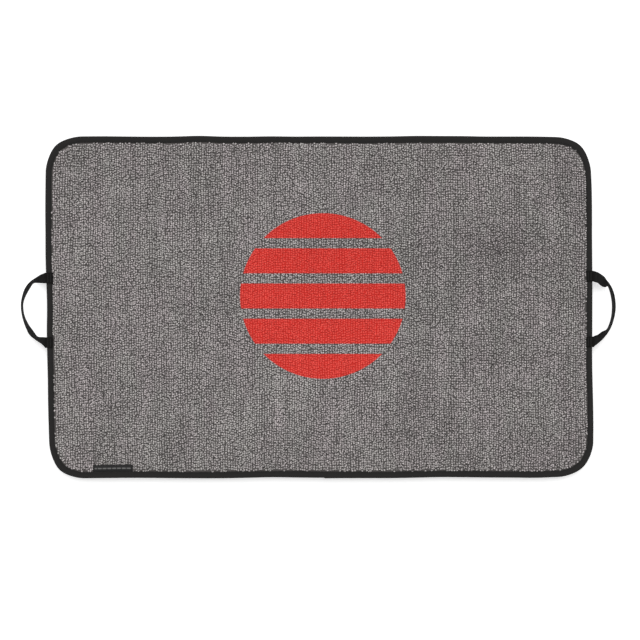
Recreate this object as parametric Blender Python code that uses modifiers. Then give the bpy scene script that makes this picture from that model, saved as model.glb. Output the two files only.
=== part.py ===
"""A thin bouldering crash pad: carpet on two foams, bound seams, webbing handles.

Metres, +Z up. The origin is on the floor under the middle of the pad. +X runs
along the pad's length and +Y to its far long side.
"""

import math

import bmesh
import bpy
import numpy as np
from mathutils import Matrix, Vector

# Plan of the pad, over the edge of its top binding
PAD_LENGTH = 0.910
PAD_WIDTH = 0.570
CORNER_RADIUS = 0.060
CORNER_STEPS = 8

# Space left between two pieces that touch
CLEARANCE = 0.0003

# Layers, from the floor up
BASE_THICKNESS = 0.0010
WALL_THICKNESS = 0.0009
SOFT_FOAM_THICKNESS = 0.0150
FIRM_FOAM_THICKNESS = 0.0100
BACKING_THICKNESS = 0.0020
PILE_HEIGHT = 0.0060

# Carpet pile: flattened under the tape, a round shoulder, then a low crown
PILE_CRUSHED_HEIGHT = 0.0015
PILE_SHOULDER_WIDTH = 0.0035
PILE_CROWN_RISE = 0.0012
PILE_CROWN_WIDTH = 0.0330
SHOULDER_STEPS = 4
CROWN_STEPS = 3

# Side wall and the slope where the base panel steps up into its seam
WALL_BULGE = 0.0015
WALL_SEAM_GAP = 0.0006
BASE_SLOPE_WIDTH = 0.0036

# Binding tape, folded round the two seams
TAPE_THICKNESS = 0.0010
TAPE_FOLD_RADIUS = 0.0011
TAPE_FOLD_STEPS = 2
TOP_TAPE_SHOWING = 0.0110
TAPE_SETBACK = 0.0015
BOTTOM_SEAM_INSET = 0.0025

# Sewing thread
THREAD_THICKNESS = 0.0004
THREAD_EDGE_DISTANCE = 0.0022

# Handle webbing
WEBBING_WIDTH = 0.0178
WEBBING_THICKNESS = 0.0018
WEBBING_ROUND = 0.0004
HANDLE_REACH = 0.0400
HANDLE_SAG = 0.0039
TAB_ON_CARPET = 0.0020
LOOP_NOSE = 0.0006
LOOP_STEPS = 2
LOOP_COLUMNS = 2

# Where each handle is sewn: span between its two ends, and how far it sits
# below the middle of the pad's short side
LEFT_HANDLE_SPAN = 0.1076
LEFT_HANDLE_LOW = 0.0058
RIGHT_HANDLE_SPAN = 0.1095
RIGHT_HANDLE_LOW = 0.0037

# Zigzag stitching that holds the webbing's ends down
ZIGZAG_WIDTH = 0.0136
ZIGZAG_DEPTH = 0.0026
ZIGZAG_TURNS = 11
STITCH_END_DISTANCE = 0.0032

# Woven label, held under the tape of the near long side
LABEL_LENGTH = 0.0640
LABEL_SHOWING = 0.0110
LABEL_THICKNESS = 0.0007
LABEL_ROOT_THICKNESS = 0.0005
LABEL_ROOT_DEPTH = 0.0041
LABEL_FROM_END = 0.0770
LABEL_HINGE_DISTANCE = 0.0008
LABEL_NOSE = 0.0002
LABEL_SLOPE_DEG = 18

# How far a cutter runs past the surface that it cuts
OVERRUN = 0.0020

# Heights that follow from the layers
BASE_TOP = BASE_THICKNESS
BASE_RIM_BOTTOM = TAPE_THICKNESS + CLEARANCE
BASE_RIM_TOP = BASE_RIM_BOTTOM + BASE_THICKNESS
WALL_BOTTOM = BASE_RIM_TOP + CLEARANCE
SOFT_FOAM_BOTTOM = BASE_TOP + CLEARANCE
SOFT_FOAM_TOP = SOFT_FOAM_BOTTOM + SOFT_FOAM_THICKNESS
FIRM_FOAM_BOTTOM = SOFT_FOAM_TOP + CLEARANCE
FIRM_FOAM_TOP = FIRM_FOAM_BOTTOM + FIRM_FOAM_THICKNESS
WALL_TOP = FIRM_FOAM_TOP
BACKING_BOTTOM = FIRM_FOAM_TOP + CLEARANCE
BACKING_TOP = BACKING_BOTTOM + BACKING_THICKNESS
PILE_BOTTOM = BACKING_TOP + CLEARANCE
PILE_TOP = PILE_BOTTOM + PILE_HEIGHT
PILE_CRUSHED_TOP = PILE_BOTTOM + PILE_CRUSHED_HEIGHT
PILE_SHOULDER_TOP = PILE_TOP - PILE_CROWN_RISE

# The two tapes: the middle of each leg, and the faces the thread lies on
TOP_TAPE_LOW = WALL_TOP - WALL_THICKNESS - CLEARANCE - TAPE_THICKNESS / 2
TOP_TAPE_HIGH = PILE_CRUSHED_TOP + CLEARANCE + TAPE_THICKNESS / 2
TOP_TAPE_FACE = TOP_TAPE_HIGH + TAPE_THICKNESS / 2
BOTTOM_TAPE_LOW = TAPE_THICKNESS / 2
BOTTOM_TAPE_HIGH = WALL_BOTTOM + WALL_THICKNESS + CLEARANCE + TAPE_THICKNESS / 2
BOTTOM_TAPE_FACE = BOTTOM_TAPE_HIGH + TAPE_THICKNESS / 2

# Distances in from the pad's outline
SEAM_INSET = TAPE_THICKNESS + CLEARANCE
BOTTOM_EDGE_INSET = BOTTOM_SEAM_INSET + SEAM_INSET
WEB_OUTER = TOP_TAPE_SHOWING
WEB_INNER = WEB_OUTER + WALL_THICKNESS
TAPE_UNDER_END = WEB_OUTER - TAPE_SETBACK
FOAM_INSET = WEB_INNER + CLEARANCE
BASE_SLOPE_START = WEB_INNER - BASE_SLOPE_WIDTH
PILE_INNER_EDGE = TOP_TAPE_SHOWING + CLEARANCE

# Handles
THREAD_TOP = TOP_TAPE_FACE + CLEARANCE + THREAD_THICKNESS
TAB_BOTTOM = THREAD_TOP + CLEARANCE
TAB_TOP = TAB_BOTTOM + WEBBING_THICKNESS
TAB_LENGTH = TOP_TAPE_SHOWING + TAB_ON_CARPET
HINGE_DISTANCE = WEBBING_THICKNESS / 2 + CLEARANCE
HINGE_HEIGHT = TAB_BOTTOM + WEBBING_THICKNESS / 2
LOOP_REACH = HANDLE_REACH - HINGE_DISTANCE - WEBBING_THICKNESS / 2
STITCHING_BOTTOM = TAB_TOP + CLEARANCE

# Label: its hinge runs along the tape's inner edge
LABEL_CENTRE_X = -PAD_LENGTH / 2 + LABEL_FROM_END + LABEL_LENGTH / 2
LABEL_HINGE_INSET = TOP_TAPE_SHOWING + LABEL_HINGE_DISTANCE
LABEL_HINGE_HEIGHT = PILE_CRUSHED_TOP + LABEL_THICKNESS
LABEL_ROOT_END = TOP_TAPE_SHOWING - THREAD_THICKNESS / 2
LABEL_ROOT_TOP = PILE_CRUSHED_TOP

# Plan of each handle loop, from its far end to its near end. Every row holds
# the outer edge and then the inner edge of the webbing, each as shares of the
# loop's reach and of that edge's half span.
LEFT_LOOP_SHARES = (
    (0.000, 1.000, 0.000, 1.000),
    (0.100, 0.979, 0.090, 1.000),
    (0.245, 0.925, 0.227, 1.007),
    (0.433, 0.845, 0.369, 1.016),
    (0.610, 0.766, 0.512, 0.998),
    (0.739, 0.684, 0.649, 0.895),
    (0.850, 0.577, 0.776, 0.764),
    (0.939, 0.423, 0.881, 0.570),
    (0.992, 0.239, 0.942, 0.325),
    (1.000, 0.056, 0.953, 0.078),
    (0.968, -0.128, 0.918, -0.167),
    (0.887, -0.311, 0.834, -0.410),
    (0.760, -0.502, 0.697, -0.659),
    (0.617, -0.648, 0.544, -0.846),
    (0.467, -0.743, 0.380, -0.971),
    (0.296, -0.823, 0.243, -1.004),
    (0.127, -0.907, 0.111, -1.001),
    (0.000, -1.000, 0.000, -1.000),
)
RIGHT_LOOP_SHARES = (
    (0.000, 1.000, 0.000, 1.000),
    (0.100, 0.974, 0.095, 0.997),
    (0.280, 0.927, 0.248, 0.949),
    (0.449, 0.867, 0.406, 0.848),
    (0.586, 0.789, 0.559, 0.805),
    (0.723, 0.676, 0.665, 0.807),
    (0.839, 0.550, 0.739, 0.720),
    (0.929, 0.393, 0.818, 0.532),
    (0.982, 0.220, 0.873, 0.305),
    (1.000, 0.047, 0.894, 0.065),
    (0.976, -0.134, 0.881, -0.174),
    (0.908, -0.306, 0.828, -0.397),
    (0.807, -0.460, 0.723, -0.602),
    (0.670, -0.611, 0.607, -0.746),
    (0.512, -0.737, 0.459, -0.805),
    (0.332, -0.842, 0.301, -0.903),
    (0.142, -0.927, 0.132, -0.973),
    (0.000, -1.000, 0.000, -1.000),
)

# Finishes: colour, roughness, metallic
CARPET_GREY = ((0.195, 0.182, 0.179), 0.95, 0.0)
BACKING_GREY = ((0.060, 0.058, 0.056), 0.90, 0.0)
SOFT_FOAM_CREAM = ((0.640, 0.600, 0.470), 0.90, 0.0)
FIRM_FOAM_GREY = ((0.075, 0.078, 0.082), 0.80, 0.0)
NYLON_BLACK = ((0.014, 0.014, 0.015), 0.60, 0.0)
TAPE_BLACK = ((0.026, 0.025, 0.024), 0.75, 0.0)
WEBBING_BLACK = ((0.016, 0.016, 0.016), 0.70, 0.0)
THREAD_BLACK = ((0.012, 0.012, 0.012), 0.50, 0.0)
LABEL_BLACK = ((0.022, 0.022, 0.022), 0.65, 0.0)


def clear_scene():
    """Removes what a new file starts with."""
    for old in list(bpy.data.objects):
        bpy.data.objects.remove(old)


def new_collection(name):
    """A collection in the scene, which its objects are linked to."""
    made = bpy.data.collections.new(name)
    bpy.context.scene.collection.children.link(made)
    return made


clear_scene()
PARTS = new_collection("bouldering_crash_pad")
CUTTERS = new_collection("cutters")


def finish(made, look):
    """Gives a part a material of its own."""
    colour, roughness, metallic = look
    material = bpy.data.materials.new(made.name)
    material.use_nodes = True
    shader = material.node_tree.nodes["Principled BSDF"]
    shader.inputs["Base Color"].default_value = (*colour, 1)
    shader.inputs["Roughness"].default_value = roughness
    shader.inputs["Metallic"].default_value = metallic
    made.data.materials.append(material)
    return made


def mesh_object(name, bm, collection=PARTS):
    """Puts a bmesh into a named object."""
    bmesh.ops.recalc_face_normals(bm, faces=bm.faces)
    mesh = bpy.data.meshes.new(name)
    bm.to_mesh(mesh)
    bm.free()
    made = bpy.data.objects.new(name, mesh)
    collection.objects.link(made)
    return made


def guide(made):
    """Marks an object that only shapes another."""
    made.hide_render = True
    made.display_type = "WIRE"
    return made


def solidify(made, thickness):
    """Gives an open surface its wall, half to each side."""
    wall = made.modifiers.new("wall", "SOLIDIFY")
    wall.thickness = thickness
    wall.offset = 0
    wall.use_even_offset = True
    return made


def round_edges(made, width):
    """Takes the sharp edges off a piece."""
    bevel = made.modifiers.new("round", "BEVEL")
    bevel.width = width
    bevel.segments = 1
    bevel.limit_method = "ANGLE"
    return made


def cut(made, cutter):
    """Takes a cutter's space out of a piece."""
    difference = made.modifiers.new(cutter.name, "BOOLEAN")
    difference.operation = "DIFFERENCE"
    difference.solver = "EXACT"
    difference.object = cutter


def rounded_outline(inset):
    """The pad's outline drawn in by inset, anticlockwise, with round corners."""
    radius = CORNER_RADIUS - inset
    across = PAD_LENGTH / 2 - CORNER_RADIUS
    along = PAD_WIDTH / 2 - CORNER_RADIUS
    points = []
    for x, y, start in ((1, -1, -90), (1, 1, 0), (-1, 1, 90), (-1, -1, 180)):
        for step in range(CORNER_STEPS + 1):
            angle = math.radians(start + 90 * step / CORNER_STEPS)
            points.append((
                x * across + radius * math.cos(angle),
                y * along + radius * math.sin(angle),
            ))
    return points


def half_outline(side):
    """One half of the outline, clockwise, open at the middle of both long sides."""
    right = rounded_outline(0)[: 2 * (CORNER_STEPS + 1)]
    middle = WALL_SEAM_GAP / 2
    points = [(middle, -PAD_WIDTH / 2), *right, (middle, PAD_WIDTH / 2)]
    return [(side * x, side * y) for x, y in reversed(points)]


def poly_curve(name, points, closed, collection=PARTS):
    """A flat curve through points."""
    curve = bpy.data.curves.new(name, "CURVE")
    curve.dimensions = "2D"
    curve.fill_mode = "NONE"
    spline = curve.splines.new("POLY")
    spline.points.add(len(points) - 1)
    for point, (x, y) in zip(spline.points, points):
        point.co = (x, y, 0, 1)
    spline.use_cyclic_u = closed
    made = bpy.data.objects.new(name, curve)
    collection.objects.link(made)
    return made


def as_mesh(made):
    """Replaces a curve object by the welded mesh that it makes."""
    bpy.context.view_layer.update()
    seen = made.evaluated_get(bpy.context.evaluated_depsgraph_get())
    bm = bmesh.new()
    bm.from_mesh(bpy.data.meshes.new_from_object(seen))
    bmesh.ops.remove_doubles(bm, verts=bm.verts, dist=CLEARANCE / 10)
    name = made.name
    place = made.matrix_world.copy()
    bpy.data.objects.remove(made)
    meshed = mesh_object(name, bm)
    meshed.matrix_world = place
    return meshed


def plate(name, inset, bottom, top, look):
    """A flat layer of the pad with round corners."""
    made = poly_curve(name, rounded_outline(inset), True)
    made.data.fill_mode = "BOTH"
    made.data.extrude = (top - bottom) / 2
    made.location.z = (bottom + top) / 2
    return finish(as_mesh(made), look)


def swept_skin(name, path, closed, profile, thickness, look):
    """Carries a profile of (inset, height) points along a path, as a thin wall."""
    section = guide(poly_curve(name + "_section", profile, False, CUTTERS))
    made = poly_curve(name, path, closed)
    made.data.bevel_mode = "OBJECT"
    made.data.bevel_object = section
    return finish(solidify(as_mesh(made), thickness), look)


def ring_stack(levels, with_bottom):
    """Draws one outline up and in through levels of (inset, height).

    The last outline is closed by a face, and so is the first one where the
    shape is a solid.
    """
    bm = bmesh.new()
    first = [bm.verts.new((x, y, levels[0][1])) for x, y in rounded_outline(levels[0][0])]
    top = bm.faces.new(first)
    if with_bottom:
        bmesh.ops.duplicate(bm, geom=[top])
    for inset, height in levels[1:]:
        moved = bmesh.ops.extrude_face_region(bm, geom=[top])
        bmesh.ops.delete(bm, geom=[top], context="FACES_ONLY")
        top = next(part for part in moved["geom"] if isinstance(part, bmesh.types.BMFace))
        for vertex, (x, y) in zip(top.verts, rounded_outline(inset)):
            vertex.co = (x, y, height)
    bmesh.ops.remove_doubles(bm, verts=bm.verts, dist=CLEARANCE / 10)
    return bm


def folded_tape(outer_inset, low, low_end, high, high_end):
    """The middle line of a tape folded over an edge, as (inset, height) points.

    Two quarter circles join its legs to the stretch that lies on the edge.
    """
    radius = TAPE_FOLD_RADIUS
    wall = outer_inset + TAPE_THICKNESS / 2
    points = [(low_end, low)]
    for centre, start in ((low + radius, 270), (high - radius, 180)):
        for step in range(TAPE_FOLD_STEPS + 1):
            angle = math.radians(start - 90 * step / TAPE_FOLD_STEPS)
            points.append((
                wall + radius + radius * math.cos(angle),
                centre + radius * math.sin(angle),
            ))
    points.append((high_end, high))
    return points


def box(name, low, high, collection=PARTS):
    """A box between two corners."""
    bm = bmesh.new()
    bmesh.ops.create_cube(bm, size=1)
    low, high = Vector(low), Vector(high)
    size = high - low
    bmesh.ops.transform(
        bm,
        matrix=Matrix.Translation((low + high) / 2) @ Matrix.Diagonal((*size, 1)),
        verts=bm.verts,
    )
    return mesh_object(name, bm, collection)


def base_panel():
    """The coated cloth under the foam, stepped up at its edge into the seam."""
    middle = BASE_THICKNESS / 2
    levels = (
        (BOTTOM_EDGE_INSET, BASE_RIM_BOTTOM + middle),
        (BASE_SLOPE_START, BASE_RIM_BOTTOM + middle),
        (WEB_INNER, middle),
    )
    made = mesh_object("base_panel", ring_stack(levels, False))
    finish(solidify(made, BASE_THICKNESS), NYLON_BLACK)


def foams():
    """The soft foam that takes a fall and the firm foam that spreads it."""
    plate("foam_lower", FOAM_INSET, SOFT_FOAM_BOTTOM, SOFT_FOAM_TOP, SOFT_FOAM_CREAM)
    plate("foam_upper", FOAM_INSET, FIRM_FOAM_BOTTOM, FIRM_FOAM_TOP, FIRM_FOAM_GREY)


def side_walls():
    """Two strips of cloth round the foam, with a flange into each seam."""
    half = WALL_THICKNESS / 2
    web = WEB_OUTER + half
    height = WALL_TOP - WALL_BOTTOM
    profile = (
        (BOTTOM_EDGE_INSET, WALL_BOTTOM + half),
        (web, WALL_BOTTOM + half),
        (web - WALL_BULGE * 3 / 4, WALL_BOTTOM + height / 4),
        (web - WALL_BULGE, WALL_BOTTOM + height / 2),
        (web - WALL_BULGE * 3 / 4, WALL_TOP - height / 4),
        (web, WALL_TOP - half),
        (SEAM_INSET, WALL_TOP - half),
    )
    for name, side in (("side_wall_left", -1), ("side_wall_right", 1)):
        swept_skin(name, half_outline(side), False, profile, WALL_THICKNESS, NYLON_BLACK)


def bindings():
    """The tapes folded round the top seam and round the bottom seam."""
    top = folded_tape(
        0, TOP_TAPE_LOW, TAPE_UNDER_END, TOP_TAPE_HIGH, TOP_TAPE_SHOWING
    )
    bottom = folded_tape(
        BOTTOM_SEAM_INSET,
        BOTTOM_TAPE_LOW,
        BASE_SLOPE_START - CLEARANCE,
        BOTTOM_TAPE_HIGH,
        TAPE_UNDER_END,
    )
    path = rounded_outline(0)
    swept_skin("top_binding", path, True, top, TAPE_THICKNESS, TAPE_BLACK)
    swept_skin("bottom_binding", path, True, bottom, TAPE_THICKNESS, TAPE_BLACK)


def binding_threads():
    """The row of stitches on each tape, as one thin ring."""
    rows = (
        ("top_binding_thread", TOP_TAPE_SHOWING, TOP_TAPE_FACE),
        ("bottom_binding_thread", TAPE_UNDER_END, BOTTOM_TAPE_FACE),
    )
    for name, edge, face in rows:
        made = poly_curve(name, rounded_outline(edge - THREAD_EDGE_DISTANCE), True)
        made.data.bevel_depth = THREAD_THICKNESS / 2
        made.data.bevel_resolution = 0
        made.location.z = face + CLEARANCE + THREAD_THICKNESS / 2
        finish(as_mesh(made), THREAD_BLACK)


def pile_levels():
    """The outlines of the pile: flat under the tape, shoulder, crown."""
    levels = [
        (SEAM_INSET, PILE_BOTTOM),
        (SEAM_INSET, PILE_CRUSHED_TOP),
        (PILE_INNER_EDGE, PILE_CRUSHED_TOP),
    ]
    rise = PILE_SHOULDER_TOP - PILE_CRUSHED_TOP
    for step in range(1, SHOULDER_STEPS + 1):
        angle = math.radians(90 * step / SHOULDER_STEPS)
        levels.append((
            PILE_INNER_EDGE + PILE_SHOULDER_WIDTH * (1 - math.cos(angle)),
            PILE_CRUSHED_TOP + rise * math.sin(angle),
        ))
    crown_start = PILE_INNER_EDGE + PILE_SHOULDER_WIDTH
    for step in range(1, CROWN_STEPS + 1):
        share = step / CROWN_STEPS
        levels.append((
            crown_start + PILE_CROWN_WIDTH * share,
            PILE_SHOULDER_TOP + PILE_CROWN_RISE * math.sin(math.radians(90 * share)),
        ))
    return levels


def carpet():
    """The carpet's backing and its pile, pressed in where webbing and label lie."""
    plate("carpet_backing", SEAM_INSET, BACKING_BOTTOM, BACKING_TOP, BACKING_GREY)
    pile = mesh_object("carpet_pile", ring_stack(pile_levels(), True))
    for name, side, span, low, _ in HANDLES:
        for end in (-1, 1):
            cut(pile, tab_space(f"{name}_tab_space_{end}", side, end * span / 2 - low))
    cut(pile, label_root_space())
    cut(pile, label_ramp_space())
    finish(pile, CARPET_GREY)


HANDLES = (
    ("left_handle", -1, LEFT_HANDLE_SPAN, LEFT_HANDLE_LOW, LEFT_LOOP_SHARES),
    ("right_handle", 1, RIGHT_HANDLE_SPAN, RIGHT_HANDLE_LOW, RIGHT_LOOP_SHARES),
)


def tab_box(side, middle, margin, bottom, top):
    """The two corners of the space round one sewn end of a handle."""
    across = WEBBING_WIDTH / 2 + margin
    outer = PAD_LENGTH / 2
    inner = outer - TAB_LENGTH - margin
    ends = sorted((side * inner, side * outer))
    return (ends[0], middle - across, bottom), (ends[1], middle + across, top)


def tab_space(name, side, middle):
    """What the pile gives up to one sewn end of a handle."""
    corners = tab_box(side, middle, CLEARANCE, TAB_BOTTOM - CLEARANCE, PILE_TOP + OVERRUN)
    return guide(box(name, *corners, CUTTERS))


def handle_tabs():
    """The webbing's ends, laid flat on the tape and sewn down."""
    for name, side, span, low, _ in HANDLES:
        for word, end in (("upper", 1), ("lower", -1)):
            corners = tab_box(side, end * span / 2 - low, 0, TAB_BOTTOM, TAB_TOP)
            tab = box(f"{name}_{word}_tab", *corners)
            finish(round_edges(tab, WEBBING_ROUND), WEBBING_BLACK)


def handle_stitching():
    """The thread that sews each webbing end down: a zigzag bar across its outer
    end, a run along its edge and a zigzag bar back across its inner end."""
    bars = (STITCH_END_DISTANCE, TAB_LENGTH - STITCH_END_DISTANCE)
    reach = (-ZIGZAG_DEPTH / 2, ZIGZAG_DEPTH / 2)
    for name, side, span, low, _ in HANDLES:
        for word, end in (("upper", 1), ("lower", -1)):
            middle = end * span / 2 - low
            points = []
            for inset, way in zip(bars, (1, -1)):
                for turn in range(ZIGZAG_TURNS):
                    across = way * ZIGZAG_WIDTH * (turn / (ZIGZAG_TURNS - 1) - 1 / 2)
                    out = PAD_LENGTH / 2 - inset + reach[turn % 2]
                    points.append((side * out, middle + across))
            thread = poly_curve(f"{name}_{word}_stitching", points, False)
            thread.data.bevel_depth = THREAD_THICKNESS / 2
            thread.data.bevel_resolution = 0
            thread.data.use_fill_caps = True
            thread.location.z = STITCHING_BOTTOM + THREAD_THICKNESS / 2
            finish(as_mesh(thread), THREAD_BLACK)


def through(points, steps):
    """A smooth line through points: between two of them it is the cubic whose
    slope at each is that of the line between its neighbours."""
    points = np.asarray(points, float)
    before = np.vstack((2 * points[:1] - points[1:2], points[:-1]))[:-1]
    after = np.vstack((points[1:], 2 * points[-1:] - points[-2:-1]))[1:]
    start, end = points[:-1], points[1:]
    share = (np.arange(steps) / steps)[None, :, None]
    leave = ((end - before) / 2)[:, None]
    arrive = ((after - start) / 2)[:, None]
    start, end = start[:, None], end[:, None]
    line = (
        start * (2 * share**3 - 3 * share**2 + 1)
        + leave * (share**3 - 2 * share**2 + share)
        + end * (3 * share**2 - 2 * share**3)
        + arrive * (share**3 - share**2)
    )
    return np.vstack((line.reshape(-1, points.shape[1]), points[-1:]))


def loop_edges(shares, span):
    """The two edges of a handle's webbing, from its hinge: out, along, up.

    In plan both edges follow the shares. The outer edge sags as a squared
    sine. The inner edge hangs below it by what is left of the webbing's width,
    so the webbing lies flat at its ends and stands on edge in the middle.
    """
    shares = np.array(shares)
    ends = np.array((1, -1))
    outer_span = (span + WEBBING_WIDTH) / 2
    inner_span = (span - WEBBING_WIDTH) / 2
    flat = np.zeros((len(shares), 4))
    flat[:, 0::2] = shares[:, 0::2] * LOOP_REACH
    flat[:, 1] = shares[:, 1] * outer_span
    flat[:, 3] = shares[:, 3] * inner_span
    flat = through(flat, LOOP_STEPS)
    nose = np.array([[-LOOP_NOSE, s * outer_span, -LOOP_NOSE, s * inner_span] for s in ends])
    flat = np.vstack((nose[:1], flat, nose[1:]))
    share = np.clip((np.arange(len(flat)) - 1) / (len(flat) - 3), 0, 1)
    sag = -HANDLE_SAG * np.sin(np.pi * share) ** 2
    apart = np.hypot(flat[:, 0] - flat[:, 2], flat[:, 1] - flat[:, 3])
    hang = np.sqrt(np.maximum(WEBBING_WIDTH**2 - apart**2, 0))
    outer = np.column_stack((flat[:, :2], sag))
    inner = np.column_stack((flat[:, 2:], sag - hang))
    return outer, inner


def handle_loops():
    """The free part of each handle, with its origin on the line it swings on."""
    for name, side, span, low, shares in HANDLES:
        outer, inner = loop_edges(shares, span)
        last = len(outer) - 1
        bm = bmesh.new()
        bmesh.ops.create_grid(bm, x_segments=last, y_segments=LOOP_COLUMNS, size=1)
        for vertex in bm.verts:
            row = round((vertex.co.x + 1) / 2 * last)
            across = (vertex.co.y + 1) / 2
            out, along, up = outer[row] * (1 - across) + inner[row] * across
            vertex.co = (side * out, along, up)
        loop = mesh_object(f"{name}_loop", bm)
        loop.location = (side * (PAD_LENGTH / 2 + HINGE_DISTANCE), -low, HINGE_HEIGHT)
        finish(solidify(loop, WEBBING_THICKNESS), WEBBING_BLACK)


def label_hinge():
    """The middle of the line along the tape that the label lifts on."""
    y = -PAD_WIDTH / 2 + LABEL_HINGE_INSET
    return Vector((LABEL_CENTRE_X, y, LABEL_HINGE_HEIGHT))


def label():
    """The woven label: the root under the tape and the flap on the pile."""
    half = LABEL_LENGTH / 2
    edge = -PAD_WIDTH / 2 + LABEL_ROOT_END
    root = box(
        "label_root",
        (LABEL_CENTRE_X - half, edge - LABEL_ROOT_DEPTH, LABEL_ROOT_TOP - LABEL_ROOT_THICKNESS),
        (LABEL_CENTRE_X + half, edge, LABEL_ROOT_TOP),
    )
    finish(root, LABEL_BLACK)
    thick = LABEL_THICKNESS / 2
    flap = box("label_flap", (-half, -LABEL_NOSE, -thick), (half, LABEL_SHOWING, thick))
    flap.rotation_euler.x = math.radians(LABEL_SLOPE_DEG)
    flap.location = label_hinge()
    finish(flap, LABEL_BLACK)


def label_root_space():
    """The pocket in the flattened pile that holds the label's root."""
    half = LABEL_LENGTH / 2 + CLEARANCE
    edge = -PAD_WIDTH / 2 + LABEL_ROOT_END
    floor = LABEL_ROOT_TOP - LABEL_ROOT_THICKNESS - CLEARANCE
    low = (LABEL_CENTRE_X - half, edge - LABEL_ROOT_DEPTH - CLEARANCE, floor)
    high = (LABEL_CENTRE_X + half, edge + CLEARANCE, PILE_CRUSHED_TOP + OVERRUN)
    return guide(box("label_root_space", low, high, CUTTERS))


def label_ramp_space():
    """The slope that the label presses into the pile."""
    half = LABEL_LENGTH / 2 + CLEARANCE
    floor = -LABEL_THICKNESS / 2 - CLEARANCE
    low = (-half, -LABEL_HINGE_DISTANCE, floor)
    high = (half, LABEL_SHOWING + CLEARANCE, PILE_HEIGHT)
    ramp = guide(box("label_ramp_space", low, high, CUTTERS))
    ramp.rotation_euler.x = math.radians(LABEL_SLOPE_DEG)
    ramp.location = label_hinge()
    return ramp


def main():
    """Builds the pad from the floor up."""
    base_panel()
    foams()
    side_walls()
    carpet()
    bindings()
    binding_threads()
    handle_tabs()
    handle_stitching()
    handle_loops()
    label()


main()
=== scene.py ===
# %% [markdown]
# A bouldering crash pad seen from straight above
#
# The pad is a thin sandwich. A looped carpet is the landing face, two sheets of
# foam lie under it, and a nylon shell closes the sides and the bottom. Two folded
# tapes bind the edges, and a webbing handle is sewn to each short side. The packed
# model already holds every piece at its real size. This script gives each of them
# its surface: loops of yarn, ribbed tape, woven webbing and stitches.
#
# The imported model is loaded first, because every place below is read from it.

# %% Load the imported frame
import math

import bmesh
import bpy
import numpy as np
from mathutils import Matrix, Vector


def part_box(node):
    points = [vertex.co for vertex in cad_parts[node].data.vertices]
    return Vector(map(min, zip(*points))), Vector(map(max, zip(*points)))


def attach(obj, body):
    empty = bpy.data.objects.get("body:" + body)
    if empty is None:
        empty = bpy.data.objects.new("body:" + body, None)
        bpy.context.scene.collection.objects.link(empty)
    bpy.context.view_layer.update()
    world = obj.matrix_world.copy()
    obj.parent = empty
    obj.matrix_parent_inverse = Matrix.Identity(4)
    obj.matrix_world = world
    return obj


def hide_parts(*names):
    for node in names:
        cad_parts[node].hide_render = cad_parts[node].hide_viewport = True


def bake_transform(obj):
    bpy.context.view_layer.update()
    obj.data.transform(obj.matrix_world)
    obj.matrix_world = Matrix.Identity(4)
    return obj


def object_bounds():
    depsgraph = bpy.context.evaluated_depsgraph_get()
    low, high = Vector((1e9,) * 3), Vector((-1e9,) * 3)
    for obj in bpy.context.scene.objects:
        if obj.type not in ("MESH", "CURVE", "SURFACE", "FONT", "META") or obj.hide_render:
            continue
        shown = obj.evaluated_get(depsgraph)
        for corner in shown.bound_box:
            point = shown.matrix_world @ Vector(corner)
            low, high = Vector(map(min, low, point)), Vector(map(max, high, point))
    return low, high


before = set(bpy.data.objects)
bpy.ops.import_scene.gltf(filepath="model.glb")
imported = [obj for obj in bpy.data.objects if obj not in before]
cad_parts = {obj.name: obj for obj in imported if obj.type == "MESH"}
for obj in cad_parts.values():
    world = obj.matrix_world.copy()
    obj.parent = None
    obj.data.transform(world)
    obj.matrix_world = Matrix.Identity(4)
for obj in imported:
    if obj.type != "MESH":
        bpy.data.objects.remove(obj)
cad_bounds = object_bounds()
MM = 0.001
print("packed model, metres:", [[round(c, 4) for c in corner] for corner in cad_bounds])

# %% [markdown]
# The camera looks straight down with the pad's long side level. A long lens from
# four metres keeps the near and far edges of a 35 mm thick pad almost the same
# size. The frame's width is a real length on the landing face, so the lens follows
# from the distance, and the pad may sit a little above the middle of the picture.

# %% Camera
LANDING_HEIGHT = cad_bounds[1][2]
CAMERA_DISTANCE = 4.0
FRAME_WIDTH = 1066.0 * MM
CAMERA_ASIDE = (1.3 * MM, -22.0 * MM)
SENSOR_WIDTH_MM = 36.0

camera_data = bpy.data.cameras.new("camera")
camera_data.sensor_width = SENSOR_WIDTH_MM
camera_data.lens = SENSOR_WIDTH_MM * CAMERA_DISTANCE / FRAME_WIDTH
camera = bpy.data.objects.new("camera", camera_data)
camera.location = (*CAMERA_ASIDE, LANDING_HEIGHT + CAMERA_DISTANCE)
bpy.context.scene.collection.objects.link(camera)
bpy.context.scene.camera = camera
bpy.context.scene.view_settings.view_transform = "Standard"
print("lens, millimetres:", round(camera_data.lens, 1))

# %% [markdown]
# Light comes from a large soft source above and a little behind the pad's far long
# side. A white world gives about half of it and one wide sun the rest. On a level
# surface they add up to one, so a colour renders about as it is written and a white
# floor stays white without clipping the pad. The floor is real and matt, and it
# keeps the pad's thin contact shadow. A paper sweep lit from below shows only the
# deepest part of a shadow, so the floor adds a little glow of its own in the picture,
# and that glow lights nothing.

# %% Light and floor
WORLD_STRENGTH = 0.56
SUN_STRENGTH = 1.48
SUN_ANGLE_DEG = 34.0
SUN_TILT_DEG = 17.0
FLOOR_SIZE = 6.0
FLOOR_DROP = 0.3 * MM
FLOOR_WHITE = 0.97
FLOOR_GLOW = 0.39


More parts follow.
